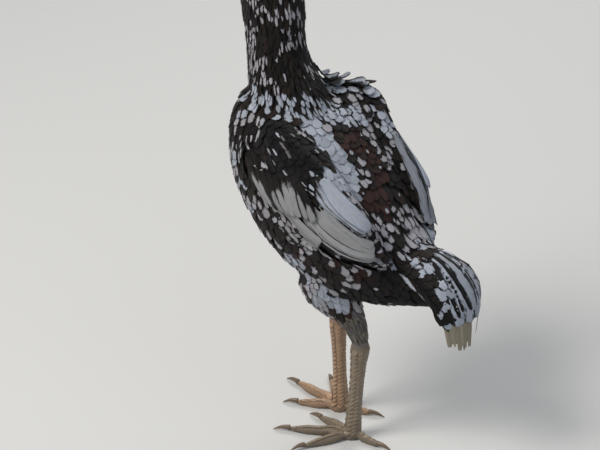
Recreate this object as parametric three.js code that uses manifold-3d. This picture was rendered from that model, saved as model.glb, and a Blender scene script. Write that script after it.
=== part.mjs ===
// A life-size game hen, standing upright with one foot ahead of the other.
// Millimetres, +Z up. The bird faces -Y and its left side is +X.
// Every piece is whole in itself and is cut back by the pieces it meets, so that
// the outer shape runs on from one piece to the next with a thin gap between them.
import * as THREE from "three";
import { mergeVertices } from "three/addons/utils/BufferGeometryUtils.js";
import Module from "manifold-3d";

const wasm = await Module();
wasm.setup();

// Driving dimensions
const GAP = 0.35; // between two pieces that meet
const TIDY = 0.1; // detail smaller than this is merged away after a cut
const HOCK = { x: 15, y: 25, z: 103 }; // left hock
const SOLE = { x: 18, y: 20, z: 8 }; // left ankle, over the ball of the foot
const PAD = { wide: 9.6, tall: 8, ahead: 3, z: 4.6 }; // ball of the foot
const RIGHT_AHEAD = { hock: 46, sole: 38 }; // how far the right leg stands ahead of the left one
const FOOT_TURN = { left: 23, right: 10 }; // degrees that each foot turns outwards
const EYE = { radius: 4.7, x: 12.6, y: -131.5, z: 513 };
const EARLOBE = { x: 17, y: -112, z: 499, wide: 2.6, long: 4.6, tall: 6.4 };
const WING_THICK = 11; // arm and coverts, over the flank
const QUILL_THICK = 6; // folded flight feathers
const WING_ROOT = 4; // how deep a wing's inner face starts under the flank, before it is cut back
const BODY_SQUARE = 2.7; // 2 is an oval section; more fills out the corners of the back and the breast

// Stations run along each axis: centre, half width, and reach to the back (up) and to the belly (down).
const TRUNK = [
  { x: 0, y: -88, z: 352, wide: 34, up: 26, down: 27 },
  { x: 0, y: -79, z: 325, wide: 55, up: 43, down: 43 },
  { x: 0, y: -61, z: 295, wide: 66, up: 56, down: 58 },
  { x: 0, y: -36, z: 265, wide: 69, up: 62, down: 66 },
  { x: 0, y: -8, z: 236, wide: 67, up: 61, down: 66 },
  { x: 0, y: 22, z: 212, wide: 61, up: 53, down: 54 },
  { x: 0, y: 54, z: 196, wide: 50, up: 41, down: 39 },
  { x: 0, y: 84, z: 187, wide: 36, up: 30, down: 26 },
  { x: 0, y: 112, z: 180, wide: 23, up: 18, down: 18 },
];
const NECK_LOW = [
  { x: 0, y: -62, z: 318, wide: 46, up: 40, down: 44 },
  { x: 0, y: -74, z: 344, wide: 38, up: 34, down: 39 },
  { x: 0, y: -81, z: 370, wide: 29.5, up: 28.5, down: 32 },
  { x: 0, y: -85, z: 398, wide: 26.5, up: 28.5, down: 30 },
  { x: 0, y: -87, z: 416, wide: 26, up: 28.5, down: 32 },
];
const NECK_HIGH = [
  { x: 0, y: -85, z: 398, wide: 26.5, up: 28.5, down: 30 },
  { x: 0, y: -89, z: 430, wide: 26, up: 29.5, down: 36 },
  { x: 0, y: -96, z: 458, wide: 23.5, up: 28.5, down: 34 },
  { x: 0, y: -106, z: 482, wide: 19.5, up: 24, down: 26 },
  { x: 0, y: -115, z: 500, wide: 16.5, up: 18, down: 19 },
];
const HEAD = [
  { x: 0, y: -94, z: 507, wide: 9, up: 9, down: 11 },
  { x: 0, y: -104, z: 509, wide: 15.5, up: 15.5, down: 18 },
  { x: 0, y: -116, z: 511, wide: 17.6, up: 18.5, down: 20.5 },
  { x: 0, y: -130, z: 510.5, wide: 15.8, up: 18, down: 17.5 },
  { x: 0, y: -143, z: 507.5, wide: 11.4, up: 13.4, down: 13 },
  { x: 0, y: -153, z: 504.5, wide: 8.2, up: 8.8, down: 9.4 },
];
const BEAK_UPPER = [
  { x: 0, y: -145, z: 507.5, wide: 7.6, up: 7.4, down: 3.2 },
  { x: 0, y: -153, z: 507, wide: 7.3, up: 7, down: 3.4 },
  { x: 0, y: -162, z: 505, wide: 6, up: 6, down: 3.6 },
  { x: 0, y: -169.5, z: 500.8, wide: 4, up: 4.4, down: 3.2 },
  { x: 0, y: -173.4, z: 494.6, wide: 1.8, up: 2.2, down: 1.8 },
];
const BEAK_LOWER = [
  { x: 0, y: -142, z: 499.5, wide: 7, up: 2.6, down: 4 },
  { x: 0, y: -152, z: 499, wide: 6.2, up: 2.6, down: 3.8 },
  { x: 0, y: -161, z: 497.8, wide: 4.8, up: 2.4, down: 3 },
  { x: 0, y: -167.5, z: 496.6, wide: 2.4, up: 1.4, down: 1.6 },
];
const COMB = [
  { x: 0, y: -153, z: 512, wide: 2.6, up: 2.4, down: 4 },
  { x: 0, y: -147, z: 518, wide: 4.2, up: 4.6, down: 5 },
  { x: 0, y: -138, z: 524.5, wide: 5, up: 5.6, down: 6 },
  { x: 0, y: -128, z: 528.5, wide: 4.6, up: 5, down: 6 },
  { x: 0, y: -119, z: 529, wide: 2.8, up: 2.4, down: 5 },
];
const DEWLAP = [
  { x: 0, y: -148, z: 492, wide: 2, up: 3, down: 2 },
  { x: 0, y: -141, z: 486, wide: 3.4, up: 7, down: 6.5 },
  { x: 0, y: -131, z: 478, wide: 4, up: 10, down: 9 },
  { x: 0, y: -122, z: 466, wide: 3.2, up: 9, down: 4 },
];
const THIGH = [
  { x: 36, y: -10, z: 192, wide: 22, up: 30, down: 30 },
  { x: 35, y: 3, z: 170, wide: 21, up: 29, down: 28 },
  { x: 29, y: 17, z: 150, wide: 15, up: 19, down: 19 },
  { x: 21, y: 25, z: 128, wide: 10.5, up: 12, down: 12 },
  { x: 15.5, y: 26, z: 106, wide: 9, up: 10.5, down: 10 },
];
const THIGH_AHEAD = [27, 36, 42, 45, 46]; // how far each station of the right thigh is ahead of the left one
const SHANK = [
  { x: 15.2, y: 25.4, z: 113, wide: 6.6, up: 7.4, down: 7 },
  { x: HOCK.x, y: HOCK.y + 0.5, z: HOCK.z, wide: 8.6, up: 10.2, down: 9.4 },
  { x: 15.4, y: 24.2, z: 90, wide: 7.2, up: 8, down: 7.6 },
  { x: 16, y: 22.8, z: 66, wide: 5.9, up: 6.9, down: 6.5 },
  { x: 17, y: 21.2, z: 38, wide: 5.9, up: 6.9, down: 6.6 },
  { x: 17.6, y: 20.4, z: 20, wide: 7.2, up: 8, down: 8 },
  { x: SOLE.x, y: SOLE.y, z: SOLE.z, wide: 8, up: 8.4, down: 8.6 },
];
// Toes: degrees that each turns outwards from the foot's own line, length to the claw, and thickness
const TOES = {
  inner: { turn: -33, length: 48, root: 5.6, end: 3.7, joints: 2 },
  middle: { turn: 2, length: 67, root: 6.2, end: 3.8, joints: 3 },
  outer: { turn: 35, length: 56, root: 5.5, end: 3.5, joints: 4 },
  hind: { turn: 156, length: 34, root: 5, end: 3.6, joints: 1 },
};
const CLAW_LENGTH = { inner: 14, middle: 15, outer: 13, hind: 15 };
// The tail's middle line from root to tip, with its half width and thickness
const TAIL = [
  { x: 0, y: 72, z: 214, wide: 28, thick: 24 },
  { x: 0, y: 105, z: 213, wide: 35, thick: 16 },
  { x: 0, y: 129, z: 198, wide: 38, thick: 9 },
  { x: 2, y: 142, z: 174, wide: 35, thick: 5 },
  { x: 6, y: 146, z: 148, wide: 20, thick: 2.6 },
];

const COLOURS = {
  plumage: 0x2a1d18,
  white: 0xb9c2cc,
  face: 0xa8432f,
  beak: 0xb58f58,
  eye: 0xcf8a3a,
  leg: 0xa07a52,
  claw: 0x5c4a3a,
};
const finish = (colour, roughness) =>
  new THREE.MeshStandardMaterial({ color: colour, roughness, metalness: 0 });
const PLUMAGE = finish(COLOURS.plumage, 0.75);
const WHITE_FEATHER = finish(COLOURS.white, 0.7);
const FACE = finish(COLOURS.face, 0.6);
const BEAK = finish(COLOURS.beak, 0.4);
const EYE_FINISH = finish(COLOURS.eye, 0.1);
const LEG = finish(COLOURS.leg, 0.55);
const CLAW = finish(COLOURS.claw, 0.4);

// A smooth value at t (0 to 1) through one field of a list of stations.
function along(stations, field, t) {
  const last = stations.length - 1;
  const at = Math.min(last - 1e-6, Math.max(0, t * last));
  const i = Math.floor(at);
  const f = at - i;
  const value = (k) => stations[Math.min(last, Math.max(0, k))][field];
  const [a, b, c, d] = [value(i - 1), value(i), value(i + 1), value(i + 2)];
  const [m0, m1] = [(c - a) / 2, (d - b) / 2];
  const [f2, f3] = [f * f, f * f * f];
  return (2 * f3 - 3 * f2 + 1) * b + (f3 - 2 * f2 + f) * m0 + (3 * f2 - 2 * f3) * c + (f3 - f2) * m1;
}

const centreAt = (stations, t) =>
  new THREE.Vector3(along(stations, "x", t), along(stations, "y", t), along(stations, "z", t));

// The point at angle a round the axis: 0 is the back, 90 degrees the left side, 180 the belly.
// grow moves it outwards and ahead moves it along the axis.
function onBody(stations, t, a, grow = 0, shrink = 1, ahead = 0) {
  const step = 0.01;
  const centre = centreAt(stations, t);
  const run = centreAt(stations, Math.min(1, t + step)).sub(centreAt(stations, Math.max(0, t - step)));
  const side = new THREE.Vector3(1, 0, 0);
  const back = new THREE.Vector3().crossVectors(run, side).normalize().negate();
  side.crossVectors(run, back).normalize();
  if (side.x < 0) side.negate();
  const square = stations === TRUNK ? 2 / BODY_SQUARE : 1;
  const [c, s] = [Math.cos(a), Math.sin(a)].map((v) => Math.sign(v) * Math.abs(v) ** square);
  const reach = along(stations, c > 0 ? "up" : "down", t) + grow;
  const wide = along(stations, "wide", t) + grow;
  return centre
    .addScaledVector(run.normalize(), ahead)
    .addScaledVector(back, c * reach * shrink)
    .addScaledVector(side, s * wide * shrink);
}

// Moves each corner of a unit shape to where place() puts it, and makes it a solid.
function reshape(geometry, place) {
  const spots = geometry.getAttribute("position");
  const p = new THREE.Vector3();
  for (let i = 0; i < spots.count; i++) {
    const q = place(p.fromBufferAttribute(spots, i));
    spots.setXYZ(i, q.x, q.y, q.z);
  }
  return solidOf(geometry);
}

function solidOf(geometry) {
  geometry.deleteAttribute("normal");
  geometry.deleteAttribute("uv");
  const merged = mergeVertices(geometry, 1e-4);
  const vertProperties = merged.getAttribute("position").array;
  const triVerts = new Uint32Array(merged.index.array);
  const made = new wasm.Manifold(new wasm.Mesh({ numProp: 3, vertProperties, triVerts }));
  if (made.volume() > 0) return made;
  for (let i = 0; i < triVerts.length; i += 3) {
    [triVerts[i + 1], triVerts[i + 2]] = [triVerts[i + 2], triVerts[i + 1]];
  }
  return new wasm.Manifold(new wasm.Mesh({ numProp: 3, vertProperties, triVerts }));
}

// A rounded body through the stations. blunt sets how square its two ends are, relief adds to its surface.
function bodyOf(stations, { segments, rings, blunt, bluntEnd = blunt, grow = 0, relief = () => 0 }) {
  return reshape(new THREE.SphereGeometry(1, segments, rings), (p) => {
    const polar = Math.acos(THREE.MathUtils.clamp(p.y, -1, 1));
    const t = (1 - Math.cos(polar)) / 2;
    const power = t < 0.5 ? blunt : bluntEnd;
    const shrink = (1 - Math.abs(2 * t - 1) ** power) ** (1 / power);
    const ahead = grow * Math.sign(2 * t - 1) * Math.abs(2 * t - 1) ** power;
    const a = Math.atan2(p.x, p.z);
    return onBody(stations, t, a, grow + relief(t, a), shrink, ahead);
  });
}

// A swelling of the given height round one spot of a body.
function swelling(height, t0, a0, tSpan, aSpan) {
  return (t, a) => {
    const turn = Math.atan2(Math.sin(a - a0), Math.cos(a - a0));
    return height * Math.exp(-(((t - t0) / tSpan) ** 2) - (turn / aSpan) ** 2);
  };
}

const degrees = THREE.MathUtils.degToRad;
const mix = THREE.MathUtils.lerp;
const rise = THREE.MathUtils.smoothstep;

// --- trunk, neck and head ---
// Loose feathers between the wings, ruffled up on the right side.
const MANTLE = [
  swelling(19, 0.2, degrees(-35), 0.14, 0.4),
  swelling(4, 0.23, degrees(40), 0.15, 0.42),
];
const mantleAt = (t, a) => MANTLE.reduce((sum, swell) => sum + swell(t, a), 0);
const trunk = (grow = 0) =>
  bodyOf(TRUNK, { segments: 24, rings: 18, blunt: 9, bluntEnd: 3, grow, relief: mantleAt });
const neckLow = (grow = 0) => bodyOf(NECK_LOW, { segments: 18, rings: 7, blunt: 12, grow });
const neckHigh = (grow = 0) => bodyOf(NECK_HIGH, { segments: 18, rings: 8, blunt: 12, grow });
const HEAD_RELIEF = [-1, 1].flatMap((side) => [
  swelling(2.2, 0.6, side * degrees(52), 0.13, 0.34), // brow over the eye
  swelling(-1.9, 0.66, side * degrees(84), 0.09, 0.3), // hollow in front of the eye
  swelling(1.6, 0.42, side * degrees(112), 0.16, 0.42), // cheek
]);
const head = (grow = 0) =>
  bodyOf(HEAD, {
    segments: 20,
    rings: 13,
    blunt: 3,
    grow,
    relief: (t, a) => HEAD_RELIEF.reduce((sum, swell) => sum + swell(t, a), 0),
  });
const beakUpper = (grow = 0) => bodyOf(BEAK_UPPER, { segments: 12, rings: 9, blunt: 6, grow });
const beakLower = (grow = 0) => bodyOf(BEAK_LOWER, { segments: 12, rings: 7, blunt: 6, grow });
const combKnobs = (t) => 0.9 * Math.cos(t * 7 * Math.PI); // three rows of low knobs, seen as waves
const comb = (grow = 0) =>
  bodyOf(COMB, { segments: 8, rings: 13, blunt: 3, grow, relief: (t) => combKnobs(t) });
const dewlap = (grow = 0) => bodyOf(DEWLAP, { segments: 10, rings: 8, blunt: 3, grow });

function eye(side, grow = 0) {
  return reshape(new THREE.SphereGeometry(EYE.radius + grow, 10, 6), (p) =>
    p.clone().add(new THREE.Vector3(side * EYE.x, EYE.y, EYE.z)),
  );
}

function earLobe(side, grow = 0) {
  const { x, y, z } = EARLOBE;
  return reshape(new THREE.SphereGeometry(1, 8, 6), (p) => {
    const [wide, long, tall] = [EARLOBE.wide + grow, EARLOBE.long + grow, EARLOBE.tall + grow];
    return new THREE.Vector3(side * x + p.x * wide, y + p.y * long, z + p.z * tall);
  });
}

// --- folded wings: a patch on the trunk's own surface, from the shoulder (u = 0) to the tip (u = 1) ---
const WING_FROM = 0.12; // where the shoulder and the tip are along the trunk
const WING_TO = 0.81;
const EDGE_SHARE = 0.16; // of the patch, over which a wing thins towards its edge
const FLANK_RADIUS = 50; // turns a gap along the flank into an angle
const trunkAt = (u) => mix(WING_FROM, WING_TO, u);
const wingTop = (u) => degrees(mix(38, 26, rise(u, 0, 0.4)));
const wingSplit = (u) => degrees(mix(84, 54, rise(u, 0, 0.75)));
const FLIGHT_FEATHERS = 7; // tips seen along the lower edge
const wingBottom = (u) => {
  const edge = mix(100, 85, rise(u, 0.05, 0.55)) - 20 * rise(u, 0.65, 1);
  return degrees(edge + 1.6 * Math.abs(Math.sin(u * Math.PI * FLIGHT_FEATHERS)));
};
const wingStandOff = (u) => 5 * rise(u, 0.3, 0.85); // the folded tip stands clear of the rump

function wingPatch(side, { from, to, top, bottom, thick, grow }) {
  return reshape(new THREE.BoxGeometry(1, 1, 1, 12, 4, 1), (p) => {
    const [u, v] = [mix(from, to, p.x + 0.5), p.y + 0.5];
    const endRound = Math.sqrt(Math.max(0.05, 1 - ((p.x * 2) ** 2) ** 4));
    const middle = (top(u) + bottom(u)) / 2;
    const half = ((bottom(u) - top(u)) / 2) * endRound + grow / FLANK_RADIUS;
    const edge = Math.min(v, 1 - v, p.x + 0.5, 0.5 - p.x) / EDGE_SHARE;
    const depth = (thick + wingStandOff(u)) * mix(0.35, 1, rise(edge, 0, 1)) + GAP + grow;
    const a = side * (middle + (2 * v - 1) * half);
    const height = mantleAt(trunkAt(u), a) + (p.z > 0 ? depth : -WING_ROOT);
    return onBody(TRUNK, trunkAt(u), a, height, 1, 2 * p.x * grow);
  });
}
const wingArm = (side, grow = 0) =>
  wingPatch(side, { from: 0, to: 0.88, top: wingTop, bottom: wingSplit, thick: WING_THICK, grow });
const wingFlight = (side, grow = 0) =>
  wingPatch(side, {
    from: 0.04,
    to: 1,
    top: (u) => wingSplit(u) - degrees(4 + 18 * rise(u, 0.75, 1)),
    bottom: wingBottom,
    thick: QUILL_THICK,
    grow,
  });

// --- tail: a short drooping fan, higher along its middle, with stepped feather tips ---
const TAIL_TIPS = 4; // feather tips on each side of the fan
const TAIL_STEP = 5;
const TAIL_SIDES = 13; // how much lower the fan's sides are than its middle
const TAIL_SHORT = 9; // how much shorter its outer feathers are
function tail(grow = 0) {
  return reshape(new THREE.BoxGeometry(2, 1, 1, 20, 5, 1), (p) => {
    const [across, u, top] = [p.x, p.y + 0.5, p.z > 0];
    const tip = rise(u, 0.5, 1);
    const scallop = TAIL_STEP * Math.abs(Math.cos(across * Math.PI * TAIL_TIPS * 0.5));
    const step = scallop - TAIL_SHORT * across ** 2;
    const before = centreAt(TAIL, Math.max(0, u - 0.02));
    const run = centreAt(TAIL, Math.min(1, u + 0.02)).sub(before).normalize();
    const over = new THREE.Vector3(0, -run.z, run.y);
    const thick = along(TAIL, "thick", u) * (1 - 0.4 * Math.abs(across)) + 2 * grow;
    const out = (along(TAIL, "wide", u) + grow) * across;
    const height = (top ? thick / 2 : -thick / 2) - TAIL_SIDES * Math.abs(across) ** 1.7;
    return centreAt(TAIL, u)
      .addScaledVector(over, height)
      .addScaledVector(run, step * tip + (u > 0.5 ? grow : -grow))
      .setX(along(TAIL, "x", u) + out);
  });
}

// --- legs ---
// The right leg is the mirror of the left one, moved forward.
const moved = (station, ahead) => ({ ...station, x: -station.x, y: station.y - ahead });
const rightThigh = THIGH.map((s, i) => moved(s, THIGH_AHEAD[i]));
const aheadAt = (z) => mix(RIGHT_AHEAD.sole, RIGHT_AHEAD.hock, THREE.MathUtils.clamp(z / HOCK.z, 0, 1));
const rightShank = SHANK.map((s) => moved(s, aheadAt(s.z)));
const thigh = (side, grow = 0) =>
  bodyOf(side > 0 ? THIGH : rightThigh, { segments: 14, rings: 9, blunt: 5, grow });
const shank = (side, grow = 0) =>
  bodyOf(side > 0 ? SHANK : rightShank, { segments: 10, rings: 12, blunt: 8, grow });
const soleAt = (side) =>
  new THREE.Vector3(side * SOLE.x, side > 0 ? SOLE.y : SOLE.y - aheadAt(SOLE.z), 0);
const FLOOR = 60; // half side of the block that cuts the soles flat

function aboveFloor(solid) {
  const block = new THREE.BoxGeometry(4 * FLOOR, 6 * FLOOR, FLOOR).translate(0, 0, -FLOOR / 2);
  return solid.subtract(solidOf(block));
}

function footPad(side, grow = 0) {
  const centre = soleAt(side);
  return aboveFloor(
    reshape(new THREE.SphereGeometry(1, 12, 6), (p) => {
      const [wide, tall] = [PAD.wide + grow, PAD.tall + grow];
      const y = centre.y - PAD.ahead + p.y * wide;
      return new THREE.Vector3(centre.x + p.x * wide, y, PAD.z + p.z * tall);
    }),
  );
}

// Straight ahead is -Y; a positive turn is outwards, away from the other foot.
function toeWay(side, name) {
  const turn = degrees(TOES[name].turn + FOOT_TURN[side > 0 ? "left" : "right"]);
  return new THREE.Vector3(side * Math.sin(turn), -Math.cos(turn), 0);
}

function toe(side, name, grow = 0) {
  const { length, root, end, joints } = TOES[name];
  const [start, way] = [soleAt(side), toeWay(side, name)];
  const across = new THREE.Vector3(-way.y, way.x, 0);
  const lift = name === "hind" ? 7 : 3.4; // the hind toe leaves the shank higher up
  return aboveFloor(
    reshape(new THREE.SphereGeometry(1, 7, 8), (p) => {
      const polar = Math.acos(THREE.MathUtils.clamp(p.y, -1, 1));
      const t = (1 - Math.cos(polar)) / 2;
      const shrink = (1 - Math.abs(2 * t - 1) ** 5) ** 0.2;
      const swell = 1 + 0.09 * Math.cos(2 * Math.PI * t * joints);
      const radius = (mix(root, end, t) * swell + grow) * shrink;
      const height = mix(root * 0.82 + lift * (1 - rise(t, 0, 0.45)), end * 0.8, t);
      return start
        .clone()
        .addScaledVector(way, t * length)
        .addScaledVector(across, p.x * radius)
        .setZ(height + p.z * radius);
    }),
  );
}

function claw(side, name, grow = 0) {
  const { length, end } = TOES[name];
  const [start, way] = [soleAt(side), toeWay(side, name)];
  const across = new THREE.Vector3(-way.y, way.x, 0);
  const long = CLAW_LENGTH[name];
  return aboveFloor(
    reshape(new THREE.SphereGeometry(1, 6, 5), (p) => {
      const t = (1 - p.y) / 2;
      const radius = (mix(end * 0.72, 0.5, t) + grow) * (1 - Math.abs(2 * t - 1) ** 6) ** (1 / 6);
      const height = mix(end * 1.05, 1, t * t) + 1.4 * Math.sin(Math.PI * t);
      return start
        .clone()
        .addScaledVector(way, length - 3.5 + t * long)
        .addScaledVector(across, p.x * radius)
        .setZ(height + p.z * radius);
    }),
  );
}

// --- assembly: each piece gives way to all the pieces before it ---
const pieces = [
  { name: "trunk", make: trunk, material: PLUMAGE },
  { name: "neck_lower", make: neckLow, material: PLUMAGE },
  { name: "neck_upper", make: neckHigh, material: PLUMAGE },
  { name: "eye_left", make: (g) => eye(1, g), material: EYE_FINISH },
  { name: "eye_right", make: (g) => eye(-1, g), material: EYE_FINISH },
  { name: "beak_upper", make: beakUpper, material: BEAK },
  { name: "beak_lower", make: beakLower, material: BEAK },
  { name: "head", make: head, material: FACE },
  { name: "comb", make: comb, material: FACE },
  { name: "dewlap", make: dewlap, material: FACE },
];
for (const [label, side] of [["left", 1], ["right", -1]]) {
  pieces.push(
    { name: `earlobe_${label}`, make: (g) => earLobe(side, g), material: FACE },
    { name: `wing_${label}_arm`, make: (g) => wingArm(side, g), material: PLUMAGE },
    { name: `wing_${label}_flight`, make: (g) => wingFlight(side, g), material: WHITE_FEATHER },
    { name: `thigh_${label}`, make: (g) => thigh(side, g), material: PLUMAGE },
    { name: `shank_${label}`, make: (g) => shank(side, g), material: LEG },
    { name: `foot_${label}`, make: (g) => footPad(side, g), material: LEG },
  );
  for (const name of Object.keys(TOES)) {
    pieces.push({ name: `toe_${label}_${name}`, make: (g) => toe(side, name, g), material: LEG });
  }
  for (const name of Object.keys(TOES)) {
    pieces.push({ name: `claw_${label}_${name}`, make: (g) => claw(side, name, g), material: CLAW });
  }
}
pieces.push({ name: "tail", make: tail, material: WHITE_FEATHER });

const biggest = (solid) =>
  solid.decompose().reduce((best, one) => (one.volume() > best.volume() ? one : best));

function meet(piece, earlier) {
  const near = (a, b) => ["0", "1", "2"].every((k) => a.min[k] <= b.max[k] && b.min[k] <= a.max[k]);
  const mine = piece.make(0);
  const cutters = earlier.filter((e) => near(e.grown.boundingBox(), mine.boundingBox()));
  const cut = cutters.reduce((left, e) => left.subtract(e.grown), mine);
  return biggest(cut.simplify(TIDY));
}

function meshOf(solid, piece) {
  const { vertProperties, triVerts } = solid.getMesh();
  const geometry = new THREE.BufferGeometry();
  geometry.setAttribute("position", new THREE.BufferAttribute(vertProperties, 3));
  geometry.setIndex(new THREE.BufferAttribute(triVerts, 1));
  geometry.computeVertexNormals();
  const mesh = new THREE.Mesh(geometry, piece.material);
  mesh.name = piece.name;
  return mesh;
}

const bird = new THREE.Group();
const earlier = [];
for (const piece of pieces) {
  bird.add(meshOf(meet(piece, earlier), piece));
  earlier.push({ name: piece.name, grown: piece.make(GAP) });
}
// The origin is on the floor, under the middle of the bird's box.
const box = new THREE.Box3().setFromObject(bird);
bird.position.set(-(box.min.x + box.max.x) / 2, -(box.min.y + box.max.y) / 2, -box.min.z);

export default bird;
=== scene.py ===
# A life-size spangled game hen: one skin, horn and eyes, leg scales, and a coat of separate feathers.
# Everything is in metres in the frame of the solids; lengths named in millimetres are times mm.
import math
import random

import bmesh
import bpy
import numpy as np
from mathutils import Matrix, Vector, noise
from mathutils.bvhtree import BVHTree
from mathutils.kdtree import KDTree


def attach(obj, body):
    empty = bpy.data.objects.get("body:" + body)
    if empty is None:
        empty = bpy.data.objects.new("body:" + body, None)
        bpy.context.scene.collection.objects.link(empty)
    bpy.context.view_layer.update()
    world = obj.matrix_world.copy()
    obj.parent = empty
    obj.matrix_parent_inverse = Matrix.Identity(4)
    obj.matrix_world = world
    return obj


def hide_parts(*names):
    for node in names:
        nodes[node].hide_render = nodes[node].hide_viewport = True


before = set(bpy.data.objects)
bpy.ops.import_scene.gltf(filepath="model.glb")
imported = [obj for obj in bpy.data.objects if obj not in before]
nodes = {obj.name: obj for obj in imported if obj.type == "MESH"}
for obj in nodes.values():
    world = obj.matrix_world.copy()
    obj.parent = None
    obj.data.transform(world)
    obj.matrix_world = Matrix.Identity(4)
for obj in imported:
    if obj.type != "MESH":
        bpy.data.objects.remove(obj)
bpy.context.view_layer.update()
mm = 0.001
left, right = 1, -1
sideName = {left: "left", right: "right"}
toeNames = ("inner", "middle", "outer", "hind")

# camera, light, floor
view = {
    "azimuth": 125,
    "elevation": 28,
    "distance": 2.5,
    "aim": (0.0289, -0.0224, 0.2242),
    "pixelsPerMetre": 1050,
    "frameWidth": 600,
    "sensor": 36,
}


def towards(azimuth, elevation):
    a, e = math.radians(azimuth), math.radians(elevation)
    return Vector((math.sin(a) * math.cos(e), -math.cos(a) * math.cos(e), math.sin(e)))


def makeCamera():
    data = bpy.data.cameras.new("camera")
    data.sensor_width = view["sensor"]
    data.lens = view["sensor"] * view["distance"] * view["pixelsPerMetre"] / view["frameWidth"]
    camera = bpy.data.objects.new("camera", data)
    way = towards(view["azimuth"], view["elevation"])
    camera.location = Vector(view["aim"]) + way * view["distance"]
    camera.rotation_euler = way.to_track_quat("Z", "Y").to_euler()
    bpy.context.scene.collection.objects.link(camera)
    bpy.context.scene.camera = camera


# name: (azimuth, elevation, distance, size, watts, colour)
lamps = {
    "key": (62, 52, 2.2, 0.8, 40, (1.0, 0.96, 0.90)),
    "fill": (165, 30, 2.6, 2.2, 9, (0.84, 0.91, 1.0)),
    "rim": (-70, 45, 2.4, 1.2, 26, (1.0, 0.97, 0.92)),
}
studio = {
    "floor": 12.0,
    "floorColour": (0.58, 0.58, 0.57),
    "world": (0.80, 0.86, 0.95),
    "worldStrength": 0.34,
    "target": (0, 0, 0.25),
}


def makeStudio():
    target = Vector(studio["target"])
    for name, (azimuth, elevation, distance, size, watts, colour) in lamps.items():
        data = bpy.data.lights.new(name, "AREA")
        data.size = size
        data.energy = watts
        data.color = colour
        lamp = bpy.data.objects.new(name, data)
        way = towards(azimuth, elevation)
        lamp.location = target + way * distance
        lamp.rotation_euler = way.to_track_quat("Z", "Y").to_euler()
        bpy.context.scene.collection.objects.link(lamp)
    world = bpy.data.worlds.new("soft room")
    world.use_nodes = True
    background = world.node_tree.nodes["Background"]
    background.inputs["Color"].default_value = (*studio["world"], 1)
    background.inputs["Strength"].default_value = studio["worldStrength"]
    bpy.context.scene.world = world
    half = studio["floor"] / 2
    mesh = bpy.data.meshes.new("floor")
    corners = [(-half, -half, 0), (half, -half, 0), (half, half, 0), (-half, half, 0)]
    mesh.from_pydata(corners, [], [(0, 1, 2, 3)])
    floor = bpy.data.objects.new("floor", mesh)
    bpy.context.scene.collection.objects.link(floor)
    material = newMaterial("floor paint", studio["floorColour"], 0.85)
    mesh.materials.append(material)


# colours and materials
def linear(red, green, blue):
    def one(value):
        c = value / 255
        return c / 12.92 if c <= 0.04045 else ((c + 0.055) / 1.055) ** 2.4

    return np.array([one(red), one(green), one(blue)])


colours = {
    "espresso": linear(14, 10, 9),
    "blueBlack": linear(10, 9, 13),
    "mahogany": linear(48, 25, 20),
    "umber": linear(27, 18, 14),
    "olive": linear(36, 29, 21),
    "stocking": linear(130, 122, 110),
    "smoke": linear(104, 100, 104),
    "white": linear(172, 179, 191),
    "pearl": linear(172, 170, 177),
    "quillWhite": linear(156, 157, 159),
    "haze": linear(134, 138, 148),
    "cream": linear(216, 204, 188),
    "straw": linear(170, 160, 138),
    "face": linear(172, 58, 47),
    "faceDeep": linear(120, 34, 30),
    "lobe": linear(186, 98, 84),
    "hornPale": linear(206, 178, 128),
    "hornDark": linear(92, 66, 44),
    "legTan": linear(160, 130, 104),
    # the near (left) leg's tan, painted darker and greyer: painted shade
    "legTanInShade": linear(126, 112, 94),
    "claw": linear(108, 92, 74),
}


def newMaterial(name, colour, roughness):
    material = bpy.data.materials.new(name)
    material.use_nodes = True
    shader = material.node_tree.nodes["Principled BSDF"]
    shader.inputs["Base Color"].default_value = (*colour, 1)
    shader.inputs["Roughness"].default_value = roughness
    return material


# short calls for wiring a material
class Graph:
    def __init__(self, material):
        self.tree = material.node_tree
        self.shader = self.tree.nodes["Principled BSDF"]

    def put(self, socket, value):
        if isinstance(value, bpy.types.NodeSocket):
            self.tree.links.new(value, socket)
        else:
            socket.default_value = value

    def node(self, kind, **settings):
        made = self.tree.nodes.new(kind)
        for key, value in settings.items():
            setattr(made, key, value)
        return made

    def math(self, operation, a, b=0.0, c=0.0):
        made = self.node("ShaderNodeMath", operation=operation)
        for socket, value in zip(made.inputs, (a, b, c)):
            self.put(socket, value)
        return made.outputs[0]

    def attribute(self, name, output="Fac"):
        return self.node("ShaderNodeAttribute", attribute_name=name).outputs[output]

    def mix(self, factor, a, b):
        made = self.node("ShaderNodeMix", data_type="RGBA")
        self.put(made.inputs[0], factor)
        self.put(made.inputs[6], a)
        self.put(made.inputs[7], b)
        return made.outputs[2]

    def step(self, value, low, high, outLow=0.0, outHigh=1.0):
        made = self.node("ShaderNodeMapRange", interpolation_type="SMOOTHSTEP")
        for socket, number in zip(made.inputs, (value, low, high, outLow, outHigh)):
            self.put(socket, number)
        return made.outputs[0]

    def noise(self, vector, scale, detail=2.0, distortion=0.0):
        made = self.node("ShaderNodeTexNoise")
        self.put(made.inputs["Vector"], vector)
        made.inputs["Scale"].default_value = scale
        made.inputs["Detail"].default_value = detail
        made.inputs["Distortion"].default_value = distortion
        return made.outputs["Fac"]

    def bump(self, height, strength, distance):
        made = self.node("ShaderNodeBump")
        self.put(made.inputs["Height"], height)
        made.inputs["Strength"].default_value = strength
        made.inputs["Distance"].default_value = distance
        self.put(self.shader.inputs["Normal"], made.outputs[0])

    def xyz(self, x, y, z=0.0):
        made = self.node("ShaderNodeCombineXYZ")
        for socket, value in zip(made.inputs, (x, y, z)):
            self.put(socket, value)
        return made.outputs[0]


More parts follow.
